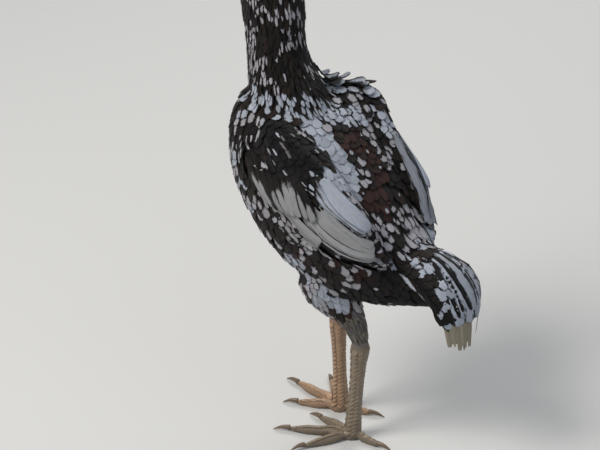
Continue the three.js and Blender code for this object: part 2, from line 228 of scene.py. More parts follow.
feather = {
    "barbs": 46,  # barb lines along one vane
    "barbSlant": 11,  # how far they sweep back towards the edge
    "roughness": 0.62,
    "sheen": 0.03,
    "rimShade": 0.3,  # how much darker a dark vane's edge is
    "shaftDark": (0.035, 0.024, 0.018, 1),
    "shaftPale": (0.42, 0.38, 0.32, 1),
}


# ground colour with one pale mark, set for each feather by its own attributes, over barbs and a shaft
def featherMaterial():
    material = newMaterial("feather", colours["espresso"], feather["roughness"])
    g = Graph(material)
    vane = g.node("ShaderNodeUVMap", uv_map="Vane").outputs[0]
    parts = g.node("ShaderNodeSeparateXYZ")
    g.put(parts.inputs[0], vane)
    across, along = parts.outputs[0], parts.outputs[1]
    offCentre = g.math("SUBTRACT", across, 0.5)
    away = g.math("ABSOLUTE", offCentre)
    seed = g.attribute("seed")
    # mark: red is its middle along the vane, green its half length, blue its half width
    mark = g.node("ShaderNodeSeparateColor")
    g.put(mark.inputs[0], g.attribute("mark", "Color"))
    middle, halfLength, halfWidth = mark.outputs
    rough = g.attribute("mark", "Alpha")
    slow = g.xyz(g.math("MULTIPLY", across, 3.0), g.math("MULTIPLY", along, 4.0), seed)
    wander = g.noise(slow, 2.2, 2.0)
    fine = g.xyz(g.math("MULTIPLY", across, 26.0), g.math("ADD", along, seed), seed)
    streaks = g.noise(fine, 2.0, 1.0)
    down = g.math("DIVIDE", g.math("SUBTRACT", along, middle), halfLength)
    out = g.math("DIVIDE", offCentre, halfWidth)
    reach = g.math("SQRT", g.math("ADD", g.math("MULTIPLY", down, down), g.math("MULTIPLY", out, out)))
    ragged = g.math("ADD", g.math("MULTIPLY", wander, 1.5), g.math("MULTIPLY", streaks, 0.6))
    edge = g.math("ADD", reach, g.math("MULTIPLY", g.math("SUBTRACT", ragged, 1.05), rough))
    white = g.step(edge, 0.84, 1.12, 1.0, 0.0)
    slant = -feather["barbSlant"] / feather["barbs"] * 2
    slanted = g.math("ADD", along, g.math("MULTIPLY", away, slant))
    barbLine = g.math("SINE", g.math("MULTIPLY", slanted, feather["barbs"] * 2 * math.pi))
    bunches = g.xyz(g.math("MULTIPLY", slanted, 9.0), g.math("MULTIPLY", across, 1.5), seed)
    clump = g.noise(bunches, 2.0, 2.0)
    ground = g.attribute("ground", "Color")
    pale = g.attribute("pale", "Color")
    tinted = g.mix(white, ground, pale)
    shade = g.math("ADD", g.math("MULTIPLY", clump, 0.5), g.math("MULTIPLY", barbLine, 0.035))
    shaded = g.node("ShaderNodeHueSaturation")
    rim = g.math("MAXIMUM", g.step(away, 0.40, 0.5), g.step(along, 0.93, 1.0))
    rim = g.math("MULTIPLY", rim, g.math("SUBTRACT", 1.3, white))
    darker = g.math("MULTIPLY", rim, feather["rimShade"])
    g.put(shaded.inputs["Value"], g.math("SUBTRACT", g.math("ADD", shade, 0.76), darker))
    g.put(shaded.inputs["Color"], tinted)
    shaft = g.step(away, 0.012, 0.03, 0.55, 0.0)
    shaftColour = g.mix(white, feather["shaftDark"], feather["shaftPale"])
    g.put(g.shader.inputs["Base Color"], g.mix(shaft, shaded.outputs[0], shaftColour))
    g.shader.inputs["Sheen Weight"].default_value = feather["sheen"]
    g.shader.inputs["Sheen Roughness"].default_value = 0.5
    g.shader.inputs["Specular IOR Level"].default_value = 0.2
    height = g.math("ADD", g.math("MULTIPLY", barbLine, 0.35), clump)
    g.bump(g.math("ADD", height, g.math("MULTIPLY", shaft, 1.5)), 0.55, 0.0006)
    return material


# lines that the coat follows, in millimetres: from the beak over the head and down the body to the tail,
# and down each leg
bodyLine = [
    (0, -162, 500), (0, -130, 511), (0, -104, 508), (0, -91, 487), (0, -81, 458), (0, -75, 430),
    (0, -71, 398), (0, -66, 370), (0, -57, 340), (0, -43, 305), (0, -22, 268), (0, 6, 238),
    (0, 36, 214), (0, 68, 199), (0, 98, 190), (0, 126, 176), (0, 158, 150),
]
legLine = {
    left: [(36, 3, 196), (35, 16, 170), (29, 30, 150), (21, 38, 128), (16, 39, 104), (17, 36, 50),
           (18, 33, 6)],
    right: [(-36, -24, 196), (-35, -20, 170), (-29, -12, 150), (-21, -7, 128), (-16, -7, 104),
            (-17, -6, 50), (-18, -5, 6)],
}


def lineArrays(points):
    stops = np.array(points, float) * mm
    middles = (stops[1:] + stops[:-1]) / 2
    ways = stops[1:] - stops[:-1]
    ways /= np.linalg.norm(ways, axis=1)[:, None]
    lengths = np.concatenate([[0], np.cumsum(np.linalg.norm(stops[1:] - stops[:-1], axis=1))])
    return stops, middles, ways, lengths


bodyArrays = lineArrays(bodyLine)
legArrays = {side: lineArrays(points) for side, points in legLine.items()}
softness = 26 * mm  # how gradually the lie turns from one stretch to the next
wingSweep = Vector((0, 0.55, 0.1))  # how much flatter the wing's feathers lie


# the way feathers point, from root to tip
def lieAt(point, part):
    p = np.array(point)
    if part.startswith(("thigh", "shank")):
        _, middles, ways, _ = legArrays[left if part.endswith("left") else right]
    else:
        _, middles, ways, _ = bodyArrays
    weight = np.exp(-np.sum((middles - p) ** 2, axis=1) / softness**2)
    way = (ways * weight[:, None]).sum(0) + ways[np.argmax(weight)] * 1e-6
    way = Vector(way).normalized()
    if part.startswith("wing"):
        way = (way + wingSweep).normalized()
    return way


# how far along the line the point is (0 to 1), and its angle round it, from the back
def placeOnLine(point, arrays):
    stops, _, ways, lengths = arrays
    p = np.array(point)
    starts, ends = stops[:-1], stops[1:]
    span = ends - starts
    share = np.clip(np.sum((p - starts) * span, axis=1) / np.sum(span * span, axis=1), 0, 1)
    near = starts + span * share[:, None]
    i = int(np.argmin(np.sum((near - p) ** 2, axis=1)))
    along = (lengths[i] + share[i] * (lengths[i + 1] - lengths[i])) / lengths[-1]
    off = Vector(p - near[i])
    way = Vector(ways[i])
    sideways = Vector((1, 0, 0))
    back = sideways.cross(way).normalized()
    if back.z < 0 and abs(back.z) > 0.2 or back.y < 0 and abs(back.z) <= 0.2:
        back.negate()
    return along, math.atan2(off.x, off.dot(back))


# surfaces from the solids
def welded(name, grow=0.0):
    bm = bmesh.new()
    bm.from_mesh(nodes[name].data)
    bmesh.ops.remove_doubles(bm, verts=bm.verts, dist=1e-6)
    bm.normal_update()
    for v in bm.verts:
        v.co += v.normal * grow
    return bm


# one closed mesh over several solids
def fused(name, members, grow, voxel, smoothing):
    bm = bmesh.new()
    for member in members:
        part = welded(member, grow)
        mesh = bpy.data.meshes.new("part")
        part.to_mesh(mesh)
        part.free()
        bm.from_mesh(mesh)
        bpy.data.meshes.remove(mesh)
    mesh = bpy.data.meshes.new(name)
    bm.to_mesh(mesh)
    bm.free()
    obj = bpy.data.objects.new(name, mesh)
    bpy.context.scene.collection.objects.link(obj)
    remesh = obj.modifiers.new("remesh", "REMESH")
    remesh.mode = "VOXEL"
    remesh.voxel_size = voxel
    smooth = obj.modifiers.new("smooth", "SMOOTH")
    smooth.factor = 0.5
    smooth.iterations = smoothing
    bpy.context.view_layer.update()
    done = bpy.data.meshes.new_from_object(obj.evaluated_get(bpy.context.evaluated_depsgraph_get()))
    bpy.data.objects.remove(obj)
    bpy.data.meshes.remove(mesh)
    done.name = name
    return done


def verticesOf(mesh):
    co = np.empty(len(mesh.vertices) * 3)
    mesh.vertices.foreach_get("co", co)
    return co.reshape(-1, 3)


def normalsOf(mesh):
    normals = np.empty(len(mesh.vertices) * 3, np.float32)
    mesh.vertex_normals.foreach_get("vector", normals)
    return normals.reshape(-1, 3).astype(float)


# a form to lay feathers or scales on
class Surface:
    def __init__(self, mesh):
        self.mesh = mesh
        self.points = verticesOf(mesh)
        self.normals = normalsOf(mesh)
        self.faces = [tuple(p.vertices) for p in mesh.polygons]
        self.tree = BVHTree.FromPolygons([Vector(p) for p in self.points], self.faces)

    def near(self, point):
        spot, _, index, _ = self.tree.find_nearest(point)
        corners = self.faces[index]
        weights = [1 / (np.linalg.norm(self.points[c] - np.array(spot)) + 1e-6) for c in corners]
        normal = sum(self.normals[c] * w for c, w in zip(corners, weights))
        return spot, Vector(normal).normalized()


feathered = ["trunk", "neck_lower", "neck_upper", "head", "thigh_left", "thigh_right", "wing_left_arm",
             "wing_right_arm", "wing_left_flight", "wing_right_flight", "tail"]
flesh = ["trunk", "neck_lower", "neck_upper", "head", "comb", "dewlap", "earlobe_left", "earlobe_right",
         "thigh_left", "thigh_right", "wing_left_arm", "wing_right_arm", "shank_left", "shank_right",
         "foot_left", "foot_right"]
flesh += [f"toe_{s}_{t}" for s in ("left", "right") for t in toeNames]

partTrees = {}
for partName in sorted(set(flesh + feathered)):
    bmPart = welded(partName)
    partTrees[partName] = BVHTree.FromBMesh(bmPart)
    bmPart.free()


def partAt(point, among):
    return min(among, key=lambda name: partTrees[name].find_nearest(point)[3])


# markings, the same for skin and coat
# each region: places in millimetres that it runs through, how far it reaches, and the kind of feather
markings = {
    "scapularBand": ([(27, -14, 335), (26, 1, 325), (25, 14, 313), (29, 26, 301), (33, 35, 289),
                      (43, 30, 295), (55, 25, 301)], 13.5, "white"),
    "mahoganyBack": ([(2, 14, 316), (-7, 27, 303), (-4, 41, 287), (6, 50, 275), (22, 48, 278),
                      (8, 62, 262)], 15, "mahogany"),
    "shoulder": ([(72, -25, 321), (70, -3, 316), (58, -5, 326), (71, 10, 304), (62, -35, 332)], 19,
                 "sparse"),
    "smokePatch": ([(68, -16, 327), (67, -24, 329), (60, -22, 334)], 8, "smoke"),
    "mantle": ([(33, -77, 348), (36, -51, 350), (27, -34, 352), (13, -22, 350), (-5, -12, 338),
                (-24, -2, 332), (-30, -30, 348)], 15, "bright"),
    "leading": ([(54, -79, 319), (61, -68, 312), (58, -62, 325)], 13, "dash"),
    "napeBase": ([(10, -35, 371), (20, -40, 368), (5, -27, 361)], 11, "olive"),
    "saddle": ([(-8, 54, 271), (-15, 64, 255), (17, 68, 249), (3, 61, 261), (22, 58, 264)], 13,
               "bigSpot"),
    "saddleEnd": ([(38, 80, 222), (31, 97, 208), (18, 90, 224), (-4, 83, 231), (14, 106, 219),
                   (-25, 84, 225), (5, 96, 223)], 10, "long"),
    "rump": ([(10, 92, 224), (4, 99, 224), (14, 107, 219)], 8, "mahogany"),
    "tailSpot": ([(13, 119, 215), (22, 112, 214)], 6, "bigSpot"),
    "tailWedge": ([(-1, 128, 215), (5, 137, 209)], 5, "plain"),
    "tailSide": ([(38, 136, 182), (33, 144, 177), (35, 141, 187)], 8, "broken"),
    "farCovert": ([(-58, 25, 299), (-54, 16, 308)], 9, "plain"),
    "vent": ([(50, 55, 180), (42, 79, 188), (20, 95, 165), (-20, 95, 165), (0, 70, 155)], 22, "plain"),
    "flank": ([(65, 3, 216), (61, 35, 214), (58, 44, 204), (55, 54, 211)], 14, "mottled"),
    "flankFront": ([(60, -5, 196), (60, -12, 203), (52, -20, 190)], 13, "broken"),
    "breastEdge": ([(46, -92, 322), (58, -78, 300), (62, -68, 272), (62, -58, 250)], 10, "broken"),
    "farWing": ([(-74, 10, 290), (-70, 35, 262), (-66, 55, 240)], 22, "broken"),
    "farShoulder": ([(-66, -20, 330), (-72, -10, 318)], 12, "sparse"),
    "farMantle": ([(-46, 6, 326), (-51, 20, 315)], 12, "bright"),
    "throat": ([(0, -104, 396), (0, -106, 410), (5, -107, 420), (-5, -107, 420), (0, -110, 429),
                (8, -109, 433), (-8, -109, 433), (0, -114, 443), (10, -112, 447), (-10, -112, 447),
                (0, -117, 456), (12, -113, 457), (-12, -113, 457)], 8, "throat"),
    "tailBlack": ([(33, 106, 208), (32, 116, 206), (33, 127, 199), (37, 124, 193)], 9, "plain"),
    "thighFront": ([(55, 21, 176), (52, 31, 172), (47, 37, 166), (50, 12, 168)], 9, "white"),
    "stocking": ([(29, 38, 140), (20, 42, 118), (-29, -6, 140), (-18, -6, 118)], 20, "stocking"),
    "underTail": ([(18, 110, 185), (-18, 110, 185), (0, 125, 178), (0, 100, 180)], 14, "plain"),
}
partKind = {
    "head": "headFleck",
    "neck_lower": "streak",
    "neck_upper": "streak",
    "trunk": "spangle",
    "thigh_left": "mottled",
    "thigh_right": "broken",
    "tail": "tailMix",
}
# chance of a mark; its middle along the vane, half length and half width; ground colours; mark colour
kinds = {
    "white": (1.0, 0.5, 2.2, 3.0, ("smoke",), "white"),
    "mahogany": (0.16, 0.9, 0.08, 0.14, ("mahogany", "mahogany", "umber"), "white"),
    "sparse": (0.16, 0.80, 0.16, 0.10, ("blueBlack",), "white"),
    "smoke": (0.8, 0.7, 0.5, 0.13, ("blueBlack",), "smoke"),
    "bright": (0.92, 0.80, 0.24, 0.36, ("espresso", "espresso", "umber"), "white"),
    "dash": (0.75, 0.74, 0.26, 0.11, ("espresso",), "pearl"),
    "olive": (0.05, 0.9, 0.1, 0.1, ("olive", "espresso"), "white"),
    "bigSpot": (0.80, 0.82, 0.16, 0.28, ("espresso", "umber", "espresso"), "pearl"),
    "broken": (0.90, 0.70, 0.42, 0.44, ("espresso", "umber"), "white"),
    "plain": (0.03, 0.9, 0.08, 0.1, ("espresso",), "white"),
    "mottled": (0.42, 0.74, 0.34, 0.40, ("umber", "espresso", "mahogany"), "pearl"),
    "streak": (0.34, 0.66, 0.32, 0.22, ("espresso", "espresso", "umber"), "pearl"),
    "spangle": (0.44, 0.80, 0.22, 0.31, ("espresso", "espresso", "umber"), "pearl"),
    "stocking": (0.5, 0.6, 0.5, 0.3, ("stocking",), "smoke"),
    "long": (0.95, 0.62, 0.42, 0.34, ("umber", "espresso"), "white"),
    "headFleck": (0.3, 0.7, 0.3, 0.5, ("espresso",), "pearl"),
    "throat": (1.0, 0.6, 1.2, 1.2, ("smoke",), "cream"),
    "quill": (1.0, 0.62, 1.4, 0.45, ("umber",), "quillWhite"),
    "farQuill": (1.0, 0.62, 1.4, 0.50, ("umber",), "haze"),
    "wedge": (0.95, 0.92, 0.62, 0.46, ("espresso",), "quillWhite"),
    "tertial": (1.0, 0.62, 0.50, 0.8, ("espresso",), "white"),
    "tailMix": (0.85, 0.66, 0.55, 0.42, ("espresso", "blueBlack"), "white"),
    "wornQuill": (1.0, 0.6, 0.9, 1.2, ("umber",), "straw"),
}
smoothKinds = ("white", "quill", "wedge", "tertial", "wornQuill")  # these lie closed, with clean marks
markLimit = 0.8  # a region ends here, as a share of its reach squared
markSpots = np.array([p for points, _, _ in markings.values() for p in points], float) * mm
markReach = np.array([reach for points, reach, _ in markings.values() for _ in points]) * mm
markKind = [kind for points, _, kind in markings.values() for _ in points]


def kindAt(point, part):
    gap = ((markSpots - np.array(point)) ** 2).sum(1) / markReach**2
    k = int(np.argmin(gap))
    return markKind[k] if gap[k] < markLimit else partKind.get(part, "spangle")


# how far single feathers stray from their kind's colours and mark, and patches with more or fewer marks
variety = {
    "ground": (0.7, 1.35),
    "pale": (0.74, 1.05),
    "size": (0.6, 1.35),
    "long": (0.75, 1.3),
    "middle": (-0.05, 0.04),
    "rough": 1.0,
    "smoothRough": 0.35,
    "patches": 45,
    "patchiness": 0.9,
}


# (ground colour, mark colour, mark) of one feather
def markFor(kind, rng, point):
    chance, middle, halfLength, halfWidth, grounds, pale = kinds[kind]
    rough = variety["smoothRough" if kind in smoothKinds else "rough"]
    ground = colours[rng.choice(grounds)] * rng.uniform(*variety["ground"])
    paleColour = colours[pale] * rng.uniform(*variety["pale"])
    patchy = noise.noise(Vector(point) * variety["patches"]) * variety["patchiness"] if chance < 0.9 else 0
    size = rng.uniform(*variety["size"]) if rng.random() < chance + patchy else 0.01
    long = rng.uniform(*variety["long"])
    middle += rng.uniform(*variety["middle"])
    return ground, paleColour, (middle, halfLength * size * long, halfWidth * size / long, rough)


# vanes are closed thin leaves, for feathers and scales: their half width at s, as a share of the widest
def outlineOf(shape, s):
    rootWidth, widest, tipRound = shape
    grow = rootWidth + (1 - rootWidth) * np.sin(np.clip(s / widest, 0, 1) * math.pi / 2)
    close = np.clip((s - widest) / (1 - widest), 0, 1)
    return grow * np.clip(1 - close**tipRound, 0, 1) ** (1 / tipRound) + 0.05


# collects leaves of one build and turns any share of them into arrays
class Vanes:
    def __init__(self, rows, columns, thickness, shape, ragged=0.05, shaft=0.45):
        self.thickness, self.ragged, self.shaft = thickness, ragged, shaft
        ends = np.linspace(0, 1, rows)
        self.s = ends + 0.13 * np.sin(ends * math.pi) * ends
        self.v = np.sin(np.linspace(-1, 1, columns) * 1.35) / math.sin(1.35)
        self.outline = outlineOf(shape, self.s)
        self.items = []
        self.faces()

    def faces(self):
        columns, rows = len(self.v), len(self.s)
        perRow = columns + 1  # the top points, then one under the shaft
        quads, tris = [], []
        for i in range(rows - 1):
            a, b = i * perRow, (i + 1) * perRow
            quads += [(a + j, a + j + 1, b + j + 1, b + j) for j in range(columns - 1)]
            quads.append((a + columns - 1, a + columns, b + columns, b + columns - 1))
            quads.append((a + columns, a, b, b + columns))
        last = (rows - 1) * perRow
        for j in range(columns - 1):
            tris.append((columns, j + 1, j))
            tris.append((last + columns, last + j, last + j + 1))
        self.quads, self.tris = np.array(quads), np.array(tris)

    # laid holds the middle line, normals and both edges at even steps from root to tip
    def add(self, laid, heights, look, place, patch, seed):
        self.items.append((*laid, heights, *look, place, patch, seed))

    def arrays(self, start, step, rng):
        items = self.items[start::step]
        if not items:
            return None
        rows, columns, count = len(self.s), len(self.v), len(items)
        steps = len(items[0][0])
        at = self.s * (steps - 1)
        low = np.minimum(at.astype(int), steps - 2)
        t = (at - low)[None, :, None]

        def spread(k):
            values = np.array([item[k] for item in items], float)
            if values.ndim == 2:
                values = values[:, :, None]
            before, after = values[:, np.maximum(low - 1, 0)], values[:, np.minimum(low + 2, steps - 1)]
            p0, p1 = values[:, low], values[:, low + 1]
            m0, m1 = (p1 - before) / 2, (after - p0) / 2
            return ((2 * t**3 - 3 * t**2 + 1) * p0 + (t**3 - 2 * t**2 + t) * m0
                    + (3 * t**2 - 2 * t**3) * p1 + (t**3 - t**2) * m1)

        centre, normal, leftEdge, rightEdge, height = (spread(k) for k in range(5))
        normal /= np.linalg.norm(normal, axis=2)[:, :, None]
        centre, leftEdge, rightEdge = (x + normal * height for x in (centre, leftEdge, rightEdge))
        way = np.gradient(centre, axis=1)
        total = np.linalg.norm(np.diff(centre, axis=1), axis=2).sum(1)[:, None, None, None]
        way /= np.linalg.norm(way, axis=2)[:, :, None] + 1e-12
        jitter = 1 + rng.uniform(-1, 1, (count, rows, 2)) * self.ragged
        x = self.v[None, None, :] * self.outline[None, :, None] * np.ones((count, 1, 1))
        x[:, :, 0] *= jitter[:, :, 0]
        x[:, :, -1] *= jitter[:, :, 1]
        half = (rightEdge - leftEdge) / 2
        bend = (rightEdge + leftEdge) / 2 - centre
        sideways = half[:, :, None] * x[..., None] + bend[:, :, None] * (x**2)[..., None]
        top = centre[:, :, None] + sideways
        lens = self.thickness * (0.5 - 0.5 * self.v**2)
        lens[columns // 2] += self.thickness * self.shaft
        body = np.sin(np.clip(self.s * 0.98 + 0.02, 0, 1) * math.pi) ** 0.3
        top = top + normal[:, :, None] * (lens[None, None, :, None] * body[None, :, None, None])
        shift = rng.uniform(-1, 1, (count, rows, columns, 1)) * self.ragged * 0.25 * total
        shift *= (self.v**2)[None, None, :, None] * (self.s > 0.2)[None, :, None, None]
        top = top + way[:, :, None] * shift
        under = centre - normal * (self.thickness * 0.5 * body[None, :, None])
        points = np.concatenate([top, under[:, :, None]], axis=2)
        across = np.concatenate([x, np.zeros((count, rows, 1))], axis=2)
        along = np.broadcast_to(self.s[None, :, None], across.shape)
        perVane = rows * (columns + 1)

        def each(k):
            return np.repeat(np.array([item[k] for item in items], float), perVane, axis=0)

        place = np.array([item[8] for item in items])[:, None, None, :]
        patch = np.array([item[9] for item in items])[:, None, None, :]
        bake = place + np.stack([across * 0.5, along - 0.5], axis=3) * patch
        offset = (np.arange(count) * perVane)[:, None, None]
        return {
            "points": points.reshape(-1, 3),
            "quads": (self.quads[None] + offset).reshape(-1, 4),
            "tris": (self.tris[None] + offset).reshape(-1, 3),
            "OFBake": np.clip(bake, 0.001, 0.999).reshape(-1, 2),
            "Vane": np.stack([0.5 + 0.5 * across, along], axis=3).reshape(-1, 2),
            "ground": each(5),
            "pale": each(6),
            "mark": each(7),
            "seed": each(10),
        }


clear = 0.05 * mm  # nothing reaches lower than this above the floor


# one joined mesh of several arrays of leaves
def pieceOf(name, groups, material):
    groups = [g for g in groups if g]
    offsets = np.concatenate([[0], np.cumsum([len(g["points"]) for g in groups])[:-1]])
    quads = np.concatenate([g["quads"] + o for g, o in zip(groups, offsets)])
    tris = np.concatenate([g["tris"] + o for g, o in zip(groups, offsets)])
    values = [k for k in groups[0] if k not in ("quads", "tris")]
    joined = {k: np.concatenate([g[k] for g in groups]) for k in values}
    joined["points"][:, 2] = np.maximum(joined["points"][:, 2], clear)
    mesh = bpy.data.meshes.new(name)
    mesh.vertices.add(len(joined["points"]))
    mesh.vertices.foreach_set("co", joined["points"].ravel())
    loops = np.concatenate([quads.ravel(), tris.ravel()]).astype(np.int32)
    mesh.loops.add(len(loops))
    mesh.loops.foreach_set("vertex_index", loops)
    starts = np.concatenate([np.arange(len(quads)) * 4, len(quads) * 4 + np.arange(len(tris)) * 3])
    mesh.polygons.add(len(starts))
    mesh.polygons.foreach_set("loop_start", starts.astype(np.int32))
    mesh.polygons.foreach_set("use_smooth", np.ones(len(starts), bool))
    mesh.update(calc_edges=True)
    for uv in ("OFBake", "Vane"):
        layer = mesh.uv_layers.new(name=uv)
        layer.data.foreach_set("uv", joined[uv][loops].astype(np.float32).ravel())
    for colour in ("ground", "pale", "mark"):
        rgba = np.concatenate([joined[colour], np.ones((len(joined[colour]), 1))], axis=1)[:, :4]
        attribute = mesh.attributes.new(colour, "FLOAT_COLOR", "POINT")
        attribute.data.foreach_set("color", rgba.astype(np.float32).ravel())
    seeds = mesh.attributes.new("seed", "FLOAT", "POINT")
    seeds.data.foreach_set("value", joined["seed"].astype(np.float32).ravel())
    mesh.materials.append(material)
    obj = bpy.data.objects.new(name, mesh)
    bpy.context.scene.collection.objects.link(obj)
    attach(obj, "root")
    print(f"{name}: {len(quads) * 2 + len(tris)} triangles")
    return obj


# follows the surface and the lie from the root
def layVane(surface, root, way, length, halfWidth, part, steps=5):
    stops, normals, leftEdge, rightEdge = [], [], [], []
    point, normal = surface.near(root)
    stride = length / (steps - 1)
    for _ in range(steps):
        way = (way - normal * way.dot(normal)).normalized()
        sideways = way.cross(normal)
        stops.append(tuple(point))
        normals.append(tuple(normal))
        leftEdge.append(tuple(surface.near(point - sideways * halfWidth)[0]))
        rightEdge.append(tuple(surface.near(point + sideways * halfWidth)[0]))
        point, normal = surface.near(point + way * stride)
        way = way.lerp(lieAt(point, part), 0.3).normalized()
    return stops, normals, leftEdge, rightEdge


def smoothPath(controls, steps):
    points = np.array(controls, float)
    last = len(points) - 1
    made = []
    for t in np.linspace(0, last - 1e-6, steps):
        i = int(t)
        f = t - i
        a, b, c, d = (points[min(last, max(0, k))] for k in (i - 1, i, i + 1, i + 2))
        m0, m1 = (c - a) / 2, (d - b) / 2
        made.append((2 * f**3 - 3 * f**2 + 1) * b + (f**3 - 2 * f**2 + f) * m0
                    + (3 * f**2 - 2 * f**3) * c + (f**3 - f**2) * m1)
    return made


# follows the surface under a path given in millimetres
def pathVane(surface, controls, halfWidth, steps=7):
    spots = [surface.near(Vector(p) * mm) for p in smoothPath(controls, steps)]
    stops = [s for s, _ in spots]
    normals = [n for _, n in spots]
    leftEdge, rightEdge = [], []
    for i, (stop, normal) in enumerate(spots):
        way = stops[min(i + 1, steps - 1)] - stops[max(i - 1, 0)]
        sideways = way.cross(normal).normalized()
        leftEdge.append(surface.near(stop - sideways * halfWidth)[0])
        rightEdge.append(surface.near(stop + sideways * halfWidth)[0])
    return [[tuple(v) for v in line] for line in (stops, normals, leftEdge, rightEdge)]


def heightsFor(steps, rootDepth, lift):
    s = np.linspace(0, 1, steps)
    return -rootDepth * (1 - s) ** 2 + lift * s**1.6


# the coat: spacing and size in millimetres, how deep the root is, how far the tip lifts, and the build
tracts = {
    "head": {"spacing": 1.9, "length": 7.5, "half": 1.7, "depth": 0.5, "lift": 0.3, "build": "small"},
    "neck": {"spacing": 3.9, "length": 20, "half": 2.9, "depth": 2.6, "lift": 0.8, "build": "hackle"},
    "back": {"spacing": 5.8, "length": 24, "half": 5.4, "depth": 3.6, "lift": 1.1, "build": "broad"},
    "ruffled": {"spacing": 6, "length": 25, "half": 8.5, "depth": -3.5, "lift": 5.5, "build": "broad"},
    "saddle": {"spacing": 6.4, "length": 32, "half": 5.4, "depth": 3.6, "lift": 1.3, "build": "broad"},
    "breast": {"spacing": 6.0, "length": 23, "half": 5.4, "depth": 3.4, "lift": 1.0, "build": "broad"},
    "wing": {"spacing": 5.8, "length": 21, "half": 5.4, "depth": 2.6, "lift": 0.9, "build": "broad"},
    "wingUnder": {"spacing": 9, "length": 24, "half": 7.5, "depth": 2.0, "lift": 0.2, "build": "broad"},
    "tailCovert": {"spacing": 7.0, "length": 30, "half": 5.8, "depth": 2.6, "lift": 1.0, "build": "broad"},
    "thighs": {"spacing": 5.4, "length": 19, "half": 4.4, "depth": 2.4, "lift": 1.1, "build": "hackle"},
    "stocking": {"spacing": 3.4, "length": 9, "half": 1.8, "depth": 1.2, "lift": 0.5, "build": "small"},
}
# rows, columns, thickness, the outline's root width, widest place and bluntness, and raggedness
builds = {
    "small": Vanes(5, 3, 0.2 * mm, (0.3, 0.5, 2.2)),
    "hackle": Vanes(9, 5, 0.25 * mm, (0.25, 0.45, 1.7), 0.07),
    "broad": Vanes(11, 7, 0.3 * mm, (0.25, 0.6, 2.5), 0.06),
    "quill": Vanes(17, 7, 0.5 * mm, (0.5, 0.55, 3.0), 0.03),
}
coatPieces = 7
outerSink = 0.9 * mm  # feathers start this far inside the outer form, so that raised tips end on it
underSink = 3.2 * mm  # and more under the folded quills
headSink = 0.4 * mm
# the bare face in millimetres: how far back and down it reaches, the feathered crown, its slanting edge
face = {
    "bareAhead": -105,
    "throat": 458,
    "crownAbove": 521,
    "crownBehind": -122,
    "edge": -109,
    "edgeLevel": 500,
    "edgeSlope": 0.28,
}


def bareFace(point):
    y, z = point[1] / mm, point[2] / mm
    if y > face["bareAhead"] or z < face["throat"]:
        return False
    if z > face["crownAbove"] and y > face["crownBehind"]:
        return False
    return y < face["edge"] + (face["edgeLevel"] - z) * face["edgeSlope"]


# where one tract gives way to the next, in millimetres, and the turn from the back in radians
borders = {"bareShank": 110, "stocking": 150, "tailBare": 141, "saddle": 48, "breastTurn": 1.3}


def tractOf(point, part):
    y, z = point[1] / mm, point[2] / mm
    if part in ("head", "neck_upper") and bareFace(point):
        return None
    if part == "head":
        return "head"
    if part.startswith("neck"):
        return "neck"
    if part.startswith("thigh"):
        if z < borders["bareShank"]:
            return None
        return "stocking" if z < borders["stocking"] else "thighs"
    if part == "tail":
        return "tailCovert" if y < borders["tailBare"] else None
    if part.endswith("flight"):
        return "wingUnder"
    if part.startswith("wing"):
        return "wing"
    if abs(placeOnLine(point, bodyArrays)[1]) > borders["breastTurn"]:
        return "breast"
    return "saddle" if y > borders["saddle"] else "back"


scattering = {
    "seed": 21,
    "perSquareMm": 0.62,  # roots tried
    "cell": 9.5,  # the widest spacing, in millimetres
    "labelled": 6000,  # points of the outer form that are given a part
}


# roots spread evenly over the coat, each with its part and tract
def scatter(surface):
    mesh = surface.mesh
    mesh.calc_loop_triangles()
    corners = np.array([t.vertices[:] for t in mesh.loop_triangles])
    a, b, c = (surface.points[corners[:, k]] for k in range(3))
    area = np.linalg.norm(np.cross(b - a, c - a), axis=1) / 2
    rng = np.random.default_rng(scattering["seed"])
    count = int(area.sum() / mm**2 * scattering["perSquareMm"])
    pick = rng.choice(len(area), count, p=area / area.sum())
    u, v = rng.random((2, count))
    flip = u + v > 1
    u[flip], v[flip] = 1 - u[flip], 1 - v[flip]
    points = a[pick] + (b[pick] - a[pick]) * u[:, None] + (c[pick] - a[pick]) * v[:, None]
    coarse = surface.points[:: max(1, len(surface.points) // scattering["labelled"])]
    labels = [partAt(Vector(p), feathered) for p in coarse]
    labels = [(part, tractOf(p, part)) for p, part in zip(coarse, labels)]
    finder = KDTree(len(coarse))
    for i, p in enumerate(coarse):
        finder.insert(p, i)
    finder.balance()
    cell = scattering["cell"] * mm
    steps = [(dx, dy, dz) for dx in (-1, 0, 1) for dy in (-1, 0, 1) for dz in (-1, 0, 1)]
    grid, roots = {}, []
    for p in points:
        part, tract = labels[finder.find(p)[1]]
        if tract is None:
            continue
        spacing = tracts[tract]["spacing"] * mm
        key = tuple((p // cell).astype(int))
        near = (q for d in steps for q in grid.get((key[0] + d[0], key[1] + d[1], key[2] + d[2]), ()))
        if all(((p - q) ** 2).sum() >= (0.5 * (spacing + reach)) ** 2 for q, reach in near):
            grid.setdefault(key, []).append((p, spacing))
            roots.append((p, part, tract))
    return roots


# the flat unwrap's strips: their middle, their width, and the ends of their run
unwrap = {
    "bodyMiddle": 0.41,
    "bodyWide": 0.78,
    "legMiddle": {left: 0.87, right: 0.95},
    "legWide": 0.07,
    "from": 0.02,
    "run": 0.96,
}


